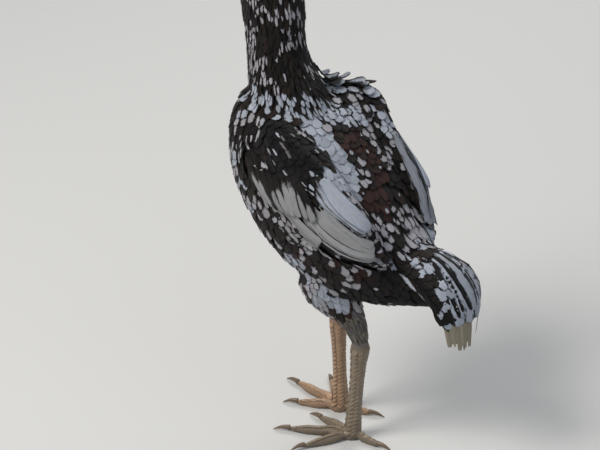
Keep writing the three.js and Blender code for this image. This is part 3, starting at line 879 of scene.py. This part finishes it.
# the place on a flat unwrap of the skin: the body in one strip, each leg in a narrow one
def bakePlace(point, part):
    if part.startswith(("thigh", "shank", "toe", "foot")):
        side = left if "left" in part else right
        along, angle = placeOnLine(point, legArrays[side])
        middle, wide = unwrap["legMiddle"][side], unwrap["legWide"]
    else:
        along, angle = placeOnLine(point, bodyArrays)
        middle, wide = unwrap["bodyMiddle"], unwrap["bodyWide"]
    return np.array([middle + wide * angle / math.tau, unwrap["from"] + unwrap["run"] * along])


patchOf = {
    "small": (0.003, 0.003),
    "hackle": (0.003, 0.006),
    "broad": (0.005, 0.007),
    "quill": (0.006, 0.02),
}
# how far single feathers stray from their tract's own sizes and lie
loose = {"length": (0.82, 1.18), "half": (0.86, 1.12), "lift": (0.5, 1.7), "turn": 0.13, "seed": 40}
smooth = {"longer": 1.25, "wider": 1.25, "lift": 0.3}  # of feathers that lie closed


def addFeather(surface, tract, point, part, rng, kind=None, extra=0.0):
    t = tracts[tract]
    length = t["length"] * mm * rng.uniform(*loose["length"])
    half = t["half"] * mm * rng.uniform(*loose["half"])
    kind = kind or kindAt(point, part)
    stray = Vector((rng.uniform(-1, 1), rng.uniform(-1, 1), rng.uniform(-1, 1))) * loose["turn"]
    way = lieAt(point, part)
    lift = t["lift"] * mm * rng.uniform(*loose["lift"]) + extra
    if kind in smoothKinds:
        length *= smooth["longer"]
        half *= smooth["wider"]
        lift *= smooth["lift"]
    laid = layVane(surface, Vector(point) - way * (length * 0.5), way + stray, length, half, part)
    sink = {"wingUnder": underSink, "head": headSink}.get(tract, outerSink)
    heights = heightsFor(5, t["depth"] * mm, lift) - sink
    look = markFor(kind, rng, point)
    build, place = t["build"], bakePlace(point, part)
    builds[build].add(laid, heights, look, place, patchOf[build], rng.uniform(0, loose["seed"]))


# the folded quills of a wing: lowest and highest of each set, in millimetres from root to tip
quillSets = {
    "primaries": {"low": [(72, -52, 300), (70, -36, 266), (67, -8, 231), (65, 19, 225)],
                  "high": [(75, -12, 288), (75, 3, 263), (74, 19, 250), (72, 34, 242)],
                  "count": 7, "half": 4.6, "height": 0.2, "kind": "quill"},
    "secondaries": {"low": [(74, -2, 280), (73, 26, 252), (66, 57, 235), (52, 78, 229)],
                    "high": [(70, 22, 287), (68, 42, 264), (60, 62, 249), (50, 77, 240)],
                    "count": 7, "half": 5.0, "height": 1.0, "kind": "quill"},
    "coverts": {"low": [(73, -50, 296), (72, -42, 283), (70, -30, 262)],
                "high": [(71, 6, 298), (73, 14, 280), (73, 25, 262)],
                "count": 9, "half": 5.2, "height": 1.5, "kind": "wedge"},
    "tertials": {"low": [(67, 14, 303), (68, 33, 283), (62, 52, 268), (54, 68, 256)],
                 "high": [(62, 27, 302), (61, 42, 283), (56, 56, 270), (50, 70, 257)],
                 "count": 3, "half": 8.0, "height": 2.4, "kind": "tertial"},
}
# the right wing lies looser, and shows these over its upper edge
rightQuills = {
    "tertials": {"low": [(62, 26, 290), (57, 48, 268), (50, 66, 246), (42, 80, 222)],
                 "high": [(52, 24, 300), (47, 48, 277), (42, 66, 252), (36, 81, 228)],
                 "count": 4, "half": 6.0, "height": 2.0, "kind": "farQuill"},
}
# the tail's middle from root to tip: x, y, z, half width and thickness
tailLine = [(0, 85, 214, 28, 24), (0, 118, 213, 35, 16), (0, 142, 198, 38, 9), (2, 155, 174, 35, 5),
            (6, 158, 139, 20, 2.6)]
tailDroop = 13  # how much lower the fan's sides lie, in millimetres
tailSteps = 40
tailPath = smoothPath(tailLine, tailSteps + 1)


def tailSpot(across, u):
    k = int(round(min(1, max(0, u)) * tailSteps))
    x, y, z, wide, thick = tailPath[k]
    run = (tailPath[min(tailSteps, k + 1)] - tailPath[max(0, k - 1)])[1:3]
    run /= np.linalg.norm(run)
    height = thick / 2 * (1 - 0.4 * abs(across)) - tailDroop * abs(across) ** 1.7
    return np.array([x + wide * across, y - run[1] * height, z + run[0] * height]) * mm


quillStack = 1.5  # how much higher the last quill of a set lies than the first


def makeQuills(surface):
    rng = random.Random(31)
    for side in (left, right):
        sets = list(quillSets.values())
        if side == right:
            sets += rightQuills.values()
        for settings in sets:
            count = settings["count"]
            for k in range(count):
                share = k / (count - 1)
                pairs = zip(settings["low"], settings["high"])
                spots = [tuple(a + (b - a) * share for a, b in zip(p, q)) for p, q in pairs]
                controls = []
                for x, y, z in spots:
                    controls.append((side * x, y + rng.uniform(-1, 1), z + rng.uniform(-1, 1)))
                half = settings["half"] * mm * rng.uniform(0.9, 1.1)
                laid = pathVane(surface, controls, half)
                height = (settings["height"] + quillStack * share) * mm
                heights = heightsFor(7, 2.5 * mm, 0.4 * mm) + height - outerSink
                tip = np.array(laid[0][4])
                look = markFor(settings["kind"], rng, tip)
                place = bakePlace(tip, "wing")
                builds["quill"].add(laid, heights, look, place, patchOf["quill"], rng.uniform(0, 40))


# the tail's feathers: how many, where they start and end along it, half width as a share of the fan
tailSets = {
    "worn": {"count": 13, "across": (0.15, 0.98), "from": 0.5, "to": 1.05, "uneven": 0.12,
             "half": 0.055, "height": -1.4, "kind": "wornQuill"},
    "thin": {"count": 3, "across": (-0.85, -0.5), "from": 0.55, "to": 0.98, "uneven": 0.1,
             "half": 0.03, "height": -1, "kind": "quill"},
    "fan": {"count": 11, "across": (-0.97, 0.97), "from": 0.15, "to": 0.82, "uneven": 0.1,
            "half": 0.26, "height": 0, "kind": "tailMix"},
}
tailEdge = 1.12  # no vane's edge goes further out, as a share of the fan's half width


def makeTail():
    rng = random.Random(12)
    steps = 7
    for t in tailSets.values():
        for k in range(t["count"]):
            low, high = t["across"]
            across = low + (high - low) * k / (t["count"] - 1)
            end = t["to"] - 0.05 * abs(across) - rng.uniform(0, t["uneven"])
            lines = [[], [], [], []]
            for u in np.linspace(t["from"], end, steps):
                place = across * (0.6 + 0.4 * u)
                wide = (place, place - t["half"], place + t["half"])
                spots = [tailSpot(max(-tailEdge, min(tailEdge, w)), u) for w in wide]
                ahead = tailSpot(place, u + 0.04) - tailSpot(place, u - 0.04)
                normal = np.cross(spots[2] - spots[1], ahead)
                lines[0].append(spots[0])
                lines[1].append(normal / np.linalg.norm(normal))
                lines[2].append(spots[1])
                lines[3].append(spots[2])
            height = t["height"] + (0.8 - abs(across)) * 1.5
            heights = np.full(steps, height) * mm + np.linspace(-2, 0, steps) * mm
            look = markFor(t["kind"], rng, lines[0][4])
            place = bakePlace(lines[0][4], "tail")
            builds["quill"].add(lines, heights, look, place, patchOf["quill"], rng.uniform(0, 40))


# ruffled feathers on the far shoulder: where they start, and how high their tips stand
ruffle = {"from": (-22, -44, 352), "to": (-56, -13, 338), "count": 13, "rise": 4.5}


def makeRuffle(surface):
    rng = random.Random(77)
    start, end = (Vector(ruffle[k]) * mm for k in ("from", "to"))
    for k in range(ruffle["count"]):
        point = start.lerp(end, k / (ruffle["count"] - 1)) + Vector((0, rng.uniform(-7, 7), 0)) * mm
        spot = surface.near(point)[0]
        kind = "broken" if k % 2 else "bright"
        rise = ruffle["rise"] * mm
        addFeather(surface, "ruffled", spot, "trunk", rng, kind, rise * rng.uniform(0.5, 1))


def makeCoat(surface, material):
    roots = scatter(surface)
    rng = random.Random(8)
    for point, part, tract in roots:
        addFeather(surface, tract, point, part, rng)
    makeRuffle(surface)
    makeQuills(surface)
    makeTail()
    print("feathers:", sum(len(b.items) for b in builds.values()))
    ragged = np.random.default_rng(5)
    for k in range(coatPieces):
        groups = [b.arrays(k, coatPieces, ragged) for name, b in builds.items() if name != "quill"]
        pieceOf(f"coat_{k + 1}", groups, material)
    quills = pieceOf("quills", [builds["quill"].arrays(0, 1, ragged)], material)
    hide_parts("wing_left_flight", "wing_right_flight", "tail")


# skin: lengths in millimetres, and rounds of smoothing and of blending its depth
skin = {
    "voxel": 1.5,
    "grow": 0.35,
    "smoothing": 3,
    "blending": 12,
    "labelEvery": 6,
    "bareShank": 106,
    "shankFade": 16,
}
# how far under the solids it lies, in millimetres
skinDepth = {"trunk": 6.5, "neck_lower": 4.5, "neck_upper": 3.6, "thigh_left": 4.5, "thigh_right": 4.5,
             "wing_left_arm": 4.5, "wing_right_arm": 4.5, "head": 0.8}
# millimetres: middle, radius, half opening, and how far out the lids stand; pupil and iris in radians
eye = {
    "x": 12.7,
    "y": -118.2,
    "z": 513,
    "radius": 4.5,
    "openLong": 3.4,
    "openHigh": 2.6,
    "lid": 5.45,
    "socket": 3.3,
    "lidFrom": 1.35,
    "lidReach": 2.0,
    "sideFrom": 8,
    "lidShade": 0.55,
    "axis": (0.97, -0.24, 0.05),
    "bulge": 0.05,
    "pupil": (0.32, 0.36),
    "iris": (0.80, 0.92),
}
# the dewlap's front is drawn back towards the throat
chin = {"from": -119, "keep": 0.4, "top": 499, "fade": 9, "half": 8}
# the comb's knobs: radians for each millimetre, millimetres, and where the comb is
combRows = {"along": 1.75, "across": 1.45, "high": 0.85, "above": 517, "half": 7.5, "ahead": -101}
sculpted = {"above": 455, "ahead": -90, "fineAbove": 462, "fineAhead": -96}  # millimetres
folds = ((0.55, 0.35), (1.4, 0.16))  # of the bare face: how many in a millimetre, and how high


def smoothstep(value, low, high):
    t = np.clip((value - low) / (high - low), 0, 1)
    return t * t * (3 - 2 * t)


# lids round each eye, fine folds on the bare face, knobs on the comb
def sculptHead(mesh):
    bm = bmesh.new()
    bm.from_mesh(mesh)
    low, back = sculpted["fineAbove"] * mm, sculpted["fineAhead"] * mm
    headEdges = [e for e in bm.edges if e.verts[0].co.z > low and e.verts[0].co.y < back]
    bmesh.ops.subdivide_edges(bm, edges=headEdges, cuts=1, use_grid_fill=True, smooth=0.6)
    bm.normal_update()
    for v in bm.verts:
        if v.co.z < sculpted["above"] * mm or v.co.y > sculpted["ahead"] * mm:
            continue
        p = v.co / mm
        if abs(p.x) < chin["half"] and p.z < chin["top"] and p.y < chin["from"]:
            below = 1 - float(smoothstep(p.z, chin["top"] - chin["fade"], chin["top"]))
            share = 1 - (1 - chin["keep"]) * below
            p.y = chin["from"] + (p.y - chin["from"]) * share
            v.co = p * mm
        side = left if p.x > 0 else right
        centre = Vector((side * eye["x"], eye["y"], eye["z"]))
        off = p - centre
        oval = math.hypot(off.y / eye["openLong"], off.z / eye["openHigh"])
        fold = sum(noise.noise(p * rate) * high for rate, high in folds)
        onTop = p.z > combRows["above"] and abs(p.x) < combRows["half"]
        comb = onTop and p.y < combRows["ahead"]
        if abs(p.x) > eye["sideFrom"] and oval < eye["lidReach"]:
            reach = eye["socket"] if oval < 1 else eye["lid"] + 0.3 * math.cos((oval - 1) * 9)
            weight = 1 - float(smoothstep(oval, eye["lidFrom"], eye["lidReach"]))
            goal = centre + off.normalized() * reach
            v.co = (p.lerp(goal, weight)) * mm
            continue
        if comb:
            knob = noise.cell(Vector((p.x * 0.35, p.y * 0.33, 1))) * 0.5
            wave = math.cos(p.y * combRows["along"]) * math.cos(p.x * combRows["across"])
            v.co += v.normal * ((combRows["high"] * wave + 0.35 * knob + fold) * mm)
        elif bareFace(v.co):
            v.co += v.normal * (fold * mm)
    bm.to_mesh(mesh)
    bm.free()


def skinColour(point, part):
    y, z = point[1] / mm, point[2] / mm
    if part in ("comb", "dewlap"):
        return colours["face"] * 0.9
    if part.startswith("earlobe"):
        return colours["lobe"]
    if part in ("head", "neck_upper") and bareFace(point):
        off = math.hypot((y - eye["y"]) / eye["openLong"], (z - eye["z"]) / eye["openHigh"])
        lid = math.exp(-(((off - 1.1) / 0.28) ** 2))
        return colours["face"] * (1 - eye["lidShade"] * lid)
    if part.startswith(("shank", "toe", "foot")):
        # the left leg takes the darker, greyer tan as painted shade; the right leg its plain tan
        return colours["legTan" if "right" in part else "legTanInShade"]
    # the skin under the head's feathers is painted dark umber, as painted shadow under their edge beside
    # the bare face
    if part == "head":
        return colours["umber"]
    chance, _, halfLength, halfWidth, grounds, pale = kinds[kindAt(point, part)]
    share = min(0.9, chance * halfLength * halfWidth * 6)
    return colours[grounds[0]] * (1 - share) + colours[pale] * share


def makeSkin():
    mesh = fused("skin", flesh, skin["grow"] * mm, skin["voxel"] * mm, skin["smoothing"])
    points, normals = verticesOf(mesh), normalsOf(mesh)
    coarse = list(range(0, len(points), skin["labelEvery"]))
    finder = KDTree(len(coarse))
    for i in coarse:
        finder.insert(points[i], i)
    finder.balance()
    labels = {i: partAt(Vector(points[i]), flesh) for i in coarse}
    parts = [labels[finder.find(p)[1]] for p in points]
    depth = np.array([skinDepth.get(part, 0) for part in parts], float)
    for i, part in enumerate(parts):
        if part in ("head", "neck_upper") and bareFace(points[i]):
            depth[i] = 0
        if part.startswith("thigh"):
            depth[i] *= min(1, max(0, (points[i][2] / mm - skin["bareShank"]) / skin["shankFade"]))
    edges = np.array([e.vertices[:] for e in mesh.edges])
    degree = np.bincount(edges.ravel(), minlength=len(points)).astype(float)
    for _ in range(skin["blending"]):
        total = np.bincount(edges[:, 0], depth[edges[:, 1]], len(points))
        total += np.bincount(edges[:, 1], depth[edges[:, 0]], len(points))
        depth = 0.5 * depth + 0.5 * total / degree
    moved = points - normals * (depth * mm)[:, None]
    moved[:, 2] = np.maximum(moved[:, 2], clear)
    mesh.vertices.foreach_set("co", moved.ravel())
    mesh.update()
    sculptHead(mesh)
    skinPoints = verticesOf(mesh)
    labelsNow = [labels[finder.find(p)[1]] for p in skinPoints]
    paint = np.array([skinColour(p, part) for p, part in zip(skinPoints, labelsNow)])
    attribute = mesh.attributes.new("paint", "FLOAT_COLOR", "POINT")
    attribute.data.foreach_set("color", np.concatenate([paint, np.ones((len(paint), 1))], 1).ravel())
    pairs = zip(skinPoints, labelsNow)
    bare = [1.0 if part in ("comb", "dewlap") or bareFace(p) else 0.0 for p, part in pairs]
    mesh.attributes.new("bare", "FLOAT", "POINT").data.foreach_set("value", bare)
    obj = bpy.data.objects.new("skin", mesh)
    bpy.context.scene.collection.objects.link(obj)
    mesh.polygons.foreach_set("use_smooth", np.ones(len(mesh.polygons), bool))
    mesh.materials.clear()
    mesh.materials.append(skinMaterial())
    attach(obj, "root")
    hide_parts(*flesh)
    print("skin:", len(skinPoints), "points")
    return obj


def skinMaterial():
    material = newMaterial("skin", colours["face"], 0.52)
    g = Graph(material)
    spot = g.node("ShaderNodeTexCoord").outputs["Object"]
    paint, bare = g.attribute("paint", "Color"), g.attribute("bare")
    cells = g.node("ShaderNodeTexVoronoi", feature="DISTANCE_TO_EDGE")
    g.put(cells.inputs["Vector"], spot)
    cells.inputs["Scale"].default_value = 1050
    grain = g.step(cells.outputs["Distance"], 0.0, 0.28)
    blotch = g.noise(spot, 130, 3.0, 0.6)
    deep = g.mix(g.step(blotch, 0.42, 0.62), paint, (*colours["faceDeep"], 1))
    flushed = g.mix(g.math("MULTIPLY", bare, 0.75), paint, deep)
    shaded = g.node("ShaderNodeHueSaturation")
    g.put(shaded.inputs["Value"], g.math("ADD", g.math("MULTIPLY", grain, 0.2), 0.8))
    g.put(shaded.inputs["Color"], flushed)
    g.put(g.shader.inputs["Base Color"], shaded.outputs[0])
    g.bump(g.math("ADD", grain, g.math("MULTIPLY", blotch, 2.0)), 0.4, 0.0005)
    return material


# horn: a closed skin through stations of (y, z, half width, up, down), with flat ends
def loft(name, stations, segments, rings, relief=None):
    bm = bmesh.new()
    rows = []
    path = smoothPath(stations, rings)
    for i, (y, z, wide, up, down) in enumerate(path):
        t = i / (rings - 1)
        y0, z0 = path[max(0, i - 1)][:2]
        y1, z1 = path[min(rings - 1, i + 1)][:2]
        run = Vector((0, y1 - y0, z1 - z0)).normalized()
        over = Vector((0, run.z, -run.y))
        row = []
        for k in range(segments):
            a = 2 * math.pi * k / segments
            reach = up if math.cos(a) > 0 else down
            extra = relief(t, a) if relief else 0
            p = Vector((math.sin(a) * (wide + extra), y, z)) + over * (math.cos(a) * (reach + extra))
            row.append(bm.verts.new(p * mm))
        rows.append(row)
    for near, far in zip(rows, rows[1:]):
        for k in range(segments):
            bm.faces.new((near[k], near[(k + 1) % segments], far[(k + 1) % segments], far[k]))
    bm.faces.new(rows[0][::-1])
    bm.faces.new(rows[-1])
    bmesh.ops.recalc_face_normals(bm, faces=bm.faces)
    for f in bm.faces:
        f.smooth = True
    mesh = bpy.data.meshes.new(name)
    bm.to_mesh(mesh)
    bm.free()
    if relief:
        # each point's share of a nostril, for the nostrils' painted shade
        nostrilShading = [min(1, nostrilAt(i / (rings - 1), math.tau * k / segments)) for i in range(rings)
                for k in range(segments)]
        mesh.attributes.new("nostrilShade", "FLOAT", "POINT").data.foreach_set("value", nostrilShading)
    obj = bpy.data.objects.new(name, mesh)
    bpy.context.scene.collection.objects.link(obj)
    return obj


# (y, z, half width, up, down) from the face to the tip, in millimetres
beakStations = {
    "beak_upper": [(-130, 507.8, 7.2, 7.2, 3.0), (-139.7, 507, 7.2, 7.0, 3.3),
                   (-148.7, 505, 5.9, 6.0, 3.5), (-155.9, 500.6, 3.4, 4.0, 2.9),
                   (-159.9, 494.6, 1.2, 1.7, 1.3), (-160.5, 492.5, 0.3, 0.4, 0.3)],
    "beak_lower": [(-128, 501.2, 6.6, 3.2, 5.2), (-138.7, 500.8, 6.1, 3.2, 5.1),
                   (-147.7, 499.4, 4.7, 2.8, 4.0), (-153.9, 498.0, 2.2, 1.5, 2.2),
                   (-155.6, 497.4, 0.4, 0.4, 0.4)],
}
# how finely it is made, and where its tip darkens, in millimetres
beak = {"segments": 56, "rings": 72, "darkFrom": -139, "darkTo": -155}
# place along the beak and from its top, size, depth, and the swelling over it
nostril = {"t": 0.30, "angle": 54, "long": 0.055, "high": 0.2, "deep": 2.2, "hood": 0.6, "hoodAngle": 46}


def turnsFrom(angle, a):
    return [math.remainder(a - side * math.radians(angle), math.tau) for side in (left, right)]


# 1 in the middle of either nostril
def nostrilAt(t, a):
    run = (t - nostril["t"]) / nostril["long"]
    offs = [(turn + 0.04 * run) / nostril["high"] for turn in turnsFrom(nostril["angle"], a)]
    return sum(math.exp(-(run**2) - off**2) for off in offs)


def beakRelief(t, a):
    run = (t - nostril["t"] + 0.02) / 0.13
    turns = turnsFrom(nostril["hoodAngle"], a)
    hood = sum(math.exp(-(run**2) - (turn / 0.5) ** 2) for turn in turns)
    return nostril["hood"] * hood - nostril["deep"] * nostrilAt(t, a)


# horn that darkens along one axis of the frame, with fine growth lines, and painted shade near-black in
# the nostrils
def hornMaterial(name, pale, dark, darkFrom, darkTo, axis):
    material = newMaterial(name, pale, 0.38)
    g = Graph(material)
    spot = g.node("ShaderNodeTexCoord").outputs["Object"]
    parts = g.node("ShaderNodeSeparateXYZ")
    g.put(parts.inputs[0], spot)
    run = g.step(parts.outputs[axis], darkFrom, darkTo)
    streak = g.noise(spot, 240, 3.0, 1.2)
    share = g.math("MULTIPLY", run, g.math("ADD", streak, 0.4))
    # the nostrils are painted near-black: painted shade in their hollows
    nostrilShade = g.step(g.attribute("nostrilShade"), 0.35, 0.75)
    horn = g.mix(share, (*pale, 1), (*dark, 1))
    g.put(g.shader.inputs["Base Color"], g.mix(nostrilShade, horn, (0.02, 0.01, 0.008, 1)))
    g.bump(streak, 0.25, 0.0004)
    return material


def makeBeak():
    shades = colours["hornPale"], colours["hornDark"]
    material = hornMaterial("beak horn", *shades, beak["darkFrom"] * mm, beak["darkTo"] * mm, 1)
    for name, stations in beakStations.items():
        relief = beakRelief if name == "beak_upper" else None
        obj = loft(name + "_horn", stations, beak["segments"], beak["rings"], relief)
        obj.data.materials.append(material)
        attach(obj, "root")
        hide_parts(name)


def eyeMaterial():
    material = newMaterial("eye", colours["espresso"], 0.06)
    g = Graph(material)
    off = g.attribute("off")
    fibres = g.noise(g.xyz(g.attribute("turn"), g.math("MULTIPLY", off, 0.6)), 16.0, 3.0)
    iris = g.mix(fibres, (0.62, 0.23, 0.05, 1), (0.30, 0.09, 0.02, 1))
    ring = g.mix(g.step(off, *eye["iris"]), iris, (0.05, 0.02, 0.015, 1))
    pupil = g.step(off, *eye["pupil"])
    g.put(g.shader.inputs["Base Color"], g.mix(pupil, (0.004, 0.004, 0.005, 1), ring))
    g.shader.inputs["Specular IOR Level"].default_value = 0.7
    return material


def makeEyes():
    material = eyeMaterial()
    for side in (left, right):
        bm = bmesh.new()
        bmesh.ops.create_uvsphere(bm, u_segments=40, v_segments=28, radius=eye["radius"] * mm)
        x, y, z = eye["axis"]
        axis = Vector((side * x, y, z)).normalized()
        turnAxis = Vector((0, 0, 1)).cross(axis).normalized()
        up = axis.cross(turnAxis)
        mesh = bpy.data.meshes.new("eye")
        bm.verts.ensure_lookup_table()
        offs, turns = [], []
        for v in bm.verts:
            way = v.co.normalized()
            offs.append(way.angle(axis))
            turns.append(math.atan2(way.dot(up), way.dot(turnAxis)))
            bulge = 1 + eye["bulge"] * math.exp(-((offs[-1] / 0.5) ** 2))
            v.co = v.co * bulge + Vector((side * eye["x"], eye["y"], eye["z"])) * mm
        for f in bm.faces:
            f.smooth = True
        bm.to_mesh(mesh)
        bm.free()
        for name, values in (("off", offs), ("turn", turns)):
            mesh.attributes.new(name, "FLOAT", "POINT").data.foreach_set("value", values)
        mesh.materials.append(material)
        obj = bpy.data.objects.new(f"eyeball_{sideName[side]}", mesh)
        bpy.context.scene.collection.objects.link(obj)
        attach(obj, "root")
        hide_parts(f"eye_{sideName[side]}")


# millimetres: thickness, the height of the middle at the root, how it falls and arches, where it darkens
claw = {
    "rings": 16,
    "segments": 14,
    "radius": 2.7,
    "tip": 0.25,
    "rootHeight": 4.0,
    "fall": 3.2,
    "arch": 1.1,
    "darkFrom": 4,
    "darkTo": 1,
}


# curved horn cones where the solids have their claws
def makeClaws():
    shades = colours["claw"], colours["hornDark"]
    material = hornMaterial("claw horn", *shades, claw["darkFrom"] * mm, claw["darkTo"] * mm, 2)
    for side in (left, right):
        foot = sum((v.co for v in nodes[f"foot_{sideName[side]}"].data.vertices), Vector())
        foot /= len(nodes[f"foot_{sideName[side]}"].data.vertices)
        for toe in toeNames:
            name = f"claw_{sideName[side]}_{toe}"
            spots = [v.co.copy() for v in nodes[name].data.vertices]
            tip = max(spots, key=lambda p: (p - foot).length)
            closest = sorted(spots, key=lambda p: (p - foot).length)[:5]
            root = sum(closest, Vector()) / len(closest)
            way = Vector((tip.x - root.x, tip.y - root.y, 0))
            long = way.length + 1 * mm
            way.normalize()
            across = Vector((-way.y, way.x, 0))
            bm = bmesh.new()
            rows, segments = [], claw["segments"]
            for i in range(claw["rings"]):
                t = i / (claw["rings"] - 1)
                radius = (claw["radius"] * (1 - t) ** 0.75 + claw["tip"]) * mm
                lift = claw["rootHeight"] - claw["fall"] * t**1.7 + claw["arch"] * math.sin(math.pi * t)
                lift *= mm
                centre = Vector((root.x, root.y, 0)) + way * (long * t - 1.5 * mm * (1 - t))
                centre.z = max(lift, radius * 0.9)
                row = []
                for a in (math.tau * k / segments for k in range(segments)):
                    rim = across * (math.cos(a) * radius * 0.86) + Vector((0, 0, math.sin(a) * radius))
                    row.append(bm.verts.new(centre + rim))
                rows.append(row)
            for near, far in zip(rows, rows[1:]):
                for k in range(segments):
                    bm.faces.new((near[k], near[(k + 1) % segments], far[(k + 1) % segments], far[k]))
            bm.faces.new(rows[0][::-1])
            bm.faces.new(rows[-1])
            for v in bm.verts:
                v.co.z = max(v.co.z, clear)
            bmesh.ops.recalc_face_normals(bm, faces=bm.faces)
            for f in bm.faces:
                f.smooth = True
            mesh = bpy.data.meshes.new(name)
            bm.to_mesh(mesh)
            bm.free()
            mesh.materials.append(material)
            obj = bpy.data.objects.new(name + "_horn", mesh)
            bpy.context.scene.collection.objects.link(obj)
            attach(obj, "root")
            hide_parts(name)


# rings of scutes round each shank: angle from the front, half width and step in millimetres
shankColumns = {
    "front": (12, 6.6, 6.2),
    "back": (180, 5.6, 5.6),
    "outer": (80, 4.2, 4.6),
    "inner": (-60, 4.4, 4.6),
    "outerBack": (127, 3.8, 4.0),
    "innerBack": (-118, 4.0, 4.0),
}
shankRun = 92  # how much of the shank they cover, in millimetres
scute = {"rows": 7, "columns": 7, "thickness": 0.55, "outline": (0.95, 0.4, 4.5), "ragged": 0.02}
# the row along each toe, in millimetres: step, length, half width at the foot and what it loses, height
toeRow = {"step": 3.0, "length": 4.8, "half": 5.2, "taper": 1.8, "height": 14, "start": 7, "stop": 8}


def makeScales(skinPiece):
    surface = Surface(skinPiece.data)
    size = scute["rows"], scute["columns"], scute["thickness"] * mm
    scales = Vanes(*size, scute["outline"], scute["ragged"], 0)
    rng = random.Random(44)
    for side in (left, right):
        label = sideName[side]
        # the left leg's scales take the darker, greyer tan as painted shade
        tint = colours["legTan" if side == right else "legTanInShade"]
        stops = legArrays[side][0]
        hock, sole = Vector(stops[4]), Vector(stops[6])
        down = (sole - hock).normalized()
        for angle, half, step in shankColumns.values():
            turn = math.radians(angle) * side
            out = Vector((math.sin(turn), -math.cos(turn), 0))
            count = int(shankRun / step)
            for k in range(count):
                share = k / (count - 1)
                middle = hock.lerp(sole, 0.02 + 0.93 * share)
                root = surface.near(middle + out * 8 * mm - down * 2 * mm)[0]
                laid = layVane(surface, root, down, (step + 2.2) * mm, half * mm, "still", 5)
                look = (tint * rng.uniform(0.75, 1.15), tint * 1.35, (0.35, 0.5, 0.7, 1.0))
                place = bakePlace(root, "shank_" + label)
                heights = np.linspace(-0.4, 0.8, 5) * mm
                scales.add(laid, heights, look, place, patchOf["small"], rng.uniform(0, loose["seed"]))
        foot = sum((v.co for v in nodes[f"foot_{label}"].data.vertices), Vector())
        foot /= len(nodes[f"foot_{label}"].data.vertices)
        for toe in toeNames:
            tipSpots = [v.co for v in nodes[f"claw_{label}_{toe}"].data.vertices]
            end = sum(tipSpots, Vector()) / len(tipSpots)
            way = Vector((end.x - foot.x, end.y - foot.y, 0))
            long = way.length - toeRow["stop"] * mm
            way.normalize()
            count = int(long / (toeRow["step"] * mm)) - 1
            for k in range(count):
                run = (long - toeRow["stop"] * mm) * k / max(1, count - 1)
                above = Vector((foot.x, foot.y, toeRow["height"] * mm))
                root = surface.near(above + way * (toeRow["start"] * mm + run))[0]
                half = (toeRow["half"] - toeRow["taper"] * k / count) * mm
                laid = layVane(surface, root, way, toeRow["length"] * mm, half, "still", 5)
                look = (tint * rng.uniform(0.75, 1.1), tint * 1.35, (0.35, 0.5, 0.7, 1.0))
                place = bakePlace(root, "toe_" + label)
                heights = np.linspace(-0.3, 0.7, 5) * mm
                scales.add(laid, heights, look, place, patchOf["small"], rng.uniform(0, loose["seed"]))
    piece = pieceOf("leg_scales", [scales.arrays(0, 1, np.random.default_rng(9))], scaleMaterial())
    return piece


def scaleMaterial():
    material = newMaterial("scale", colours["legTan"], 0.42)
    g = Graph(material)
    vane = g.node("ShaderNodeUVMap", uv_map="Vane").outputs[0]
    parts = g.node("ShaderNodeSeparateXYZ")
    g.put(parts.inputs[0], vane)
    away = g.math("ABSOLUTE", g.math("SUBTRACT", parts.outputs[0], 0.5))
    sides = g.math("MULTIPLY", g.step(away, 0.4, 0.5), 0.3)
    rim = g.math("MAXIMUM", sides, g.step(parts.outputs[1], 0.78, 1.0))
    grain = g.noise(g.xyz(parts.outputs[0], parts.outputs[1], g.attribute("seed")), 5.0, 3.0)
    ground, pale = g.attribute("ground", "Color"), g.attribute("pale", "Color")
    worn = g.mix(g.math("MULTIPLY", grain, 0.7), ground, pale)
    edged = g.mix(g.math("MULTIPLY", rim, 0.65), worn, (0.045, 0.03, 0.02, 1))
    g.put(g.shader.inputs["Base Color"], edged)
    g.bump(grain, 0.3, 0.0004)
    return material


# build
outerForm = {"grow": 0.4, "voxel": 2.2, "smoothing": 6}  # millimetres, and rounds of smoothing
bpy.context.scene.view_settings.view_transform = "Standard"
makeCamera()
makeStudio()
print("camera and studio ready")
voxel = outerForm["voxel"] * mm
outer = Surface(fused("outer", feathered, outerForm["grow"] * mm, voxel, outerForm["smoothing"]))
print("outer form:", len(outer.points), "points")
skinPiece = makeSkin()
makeCoat(outer, featherMaterial())
makeBeak()
makeEyes()
makeClaws()
makeScales(skinPiece)
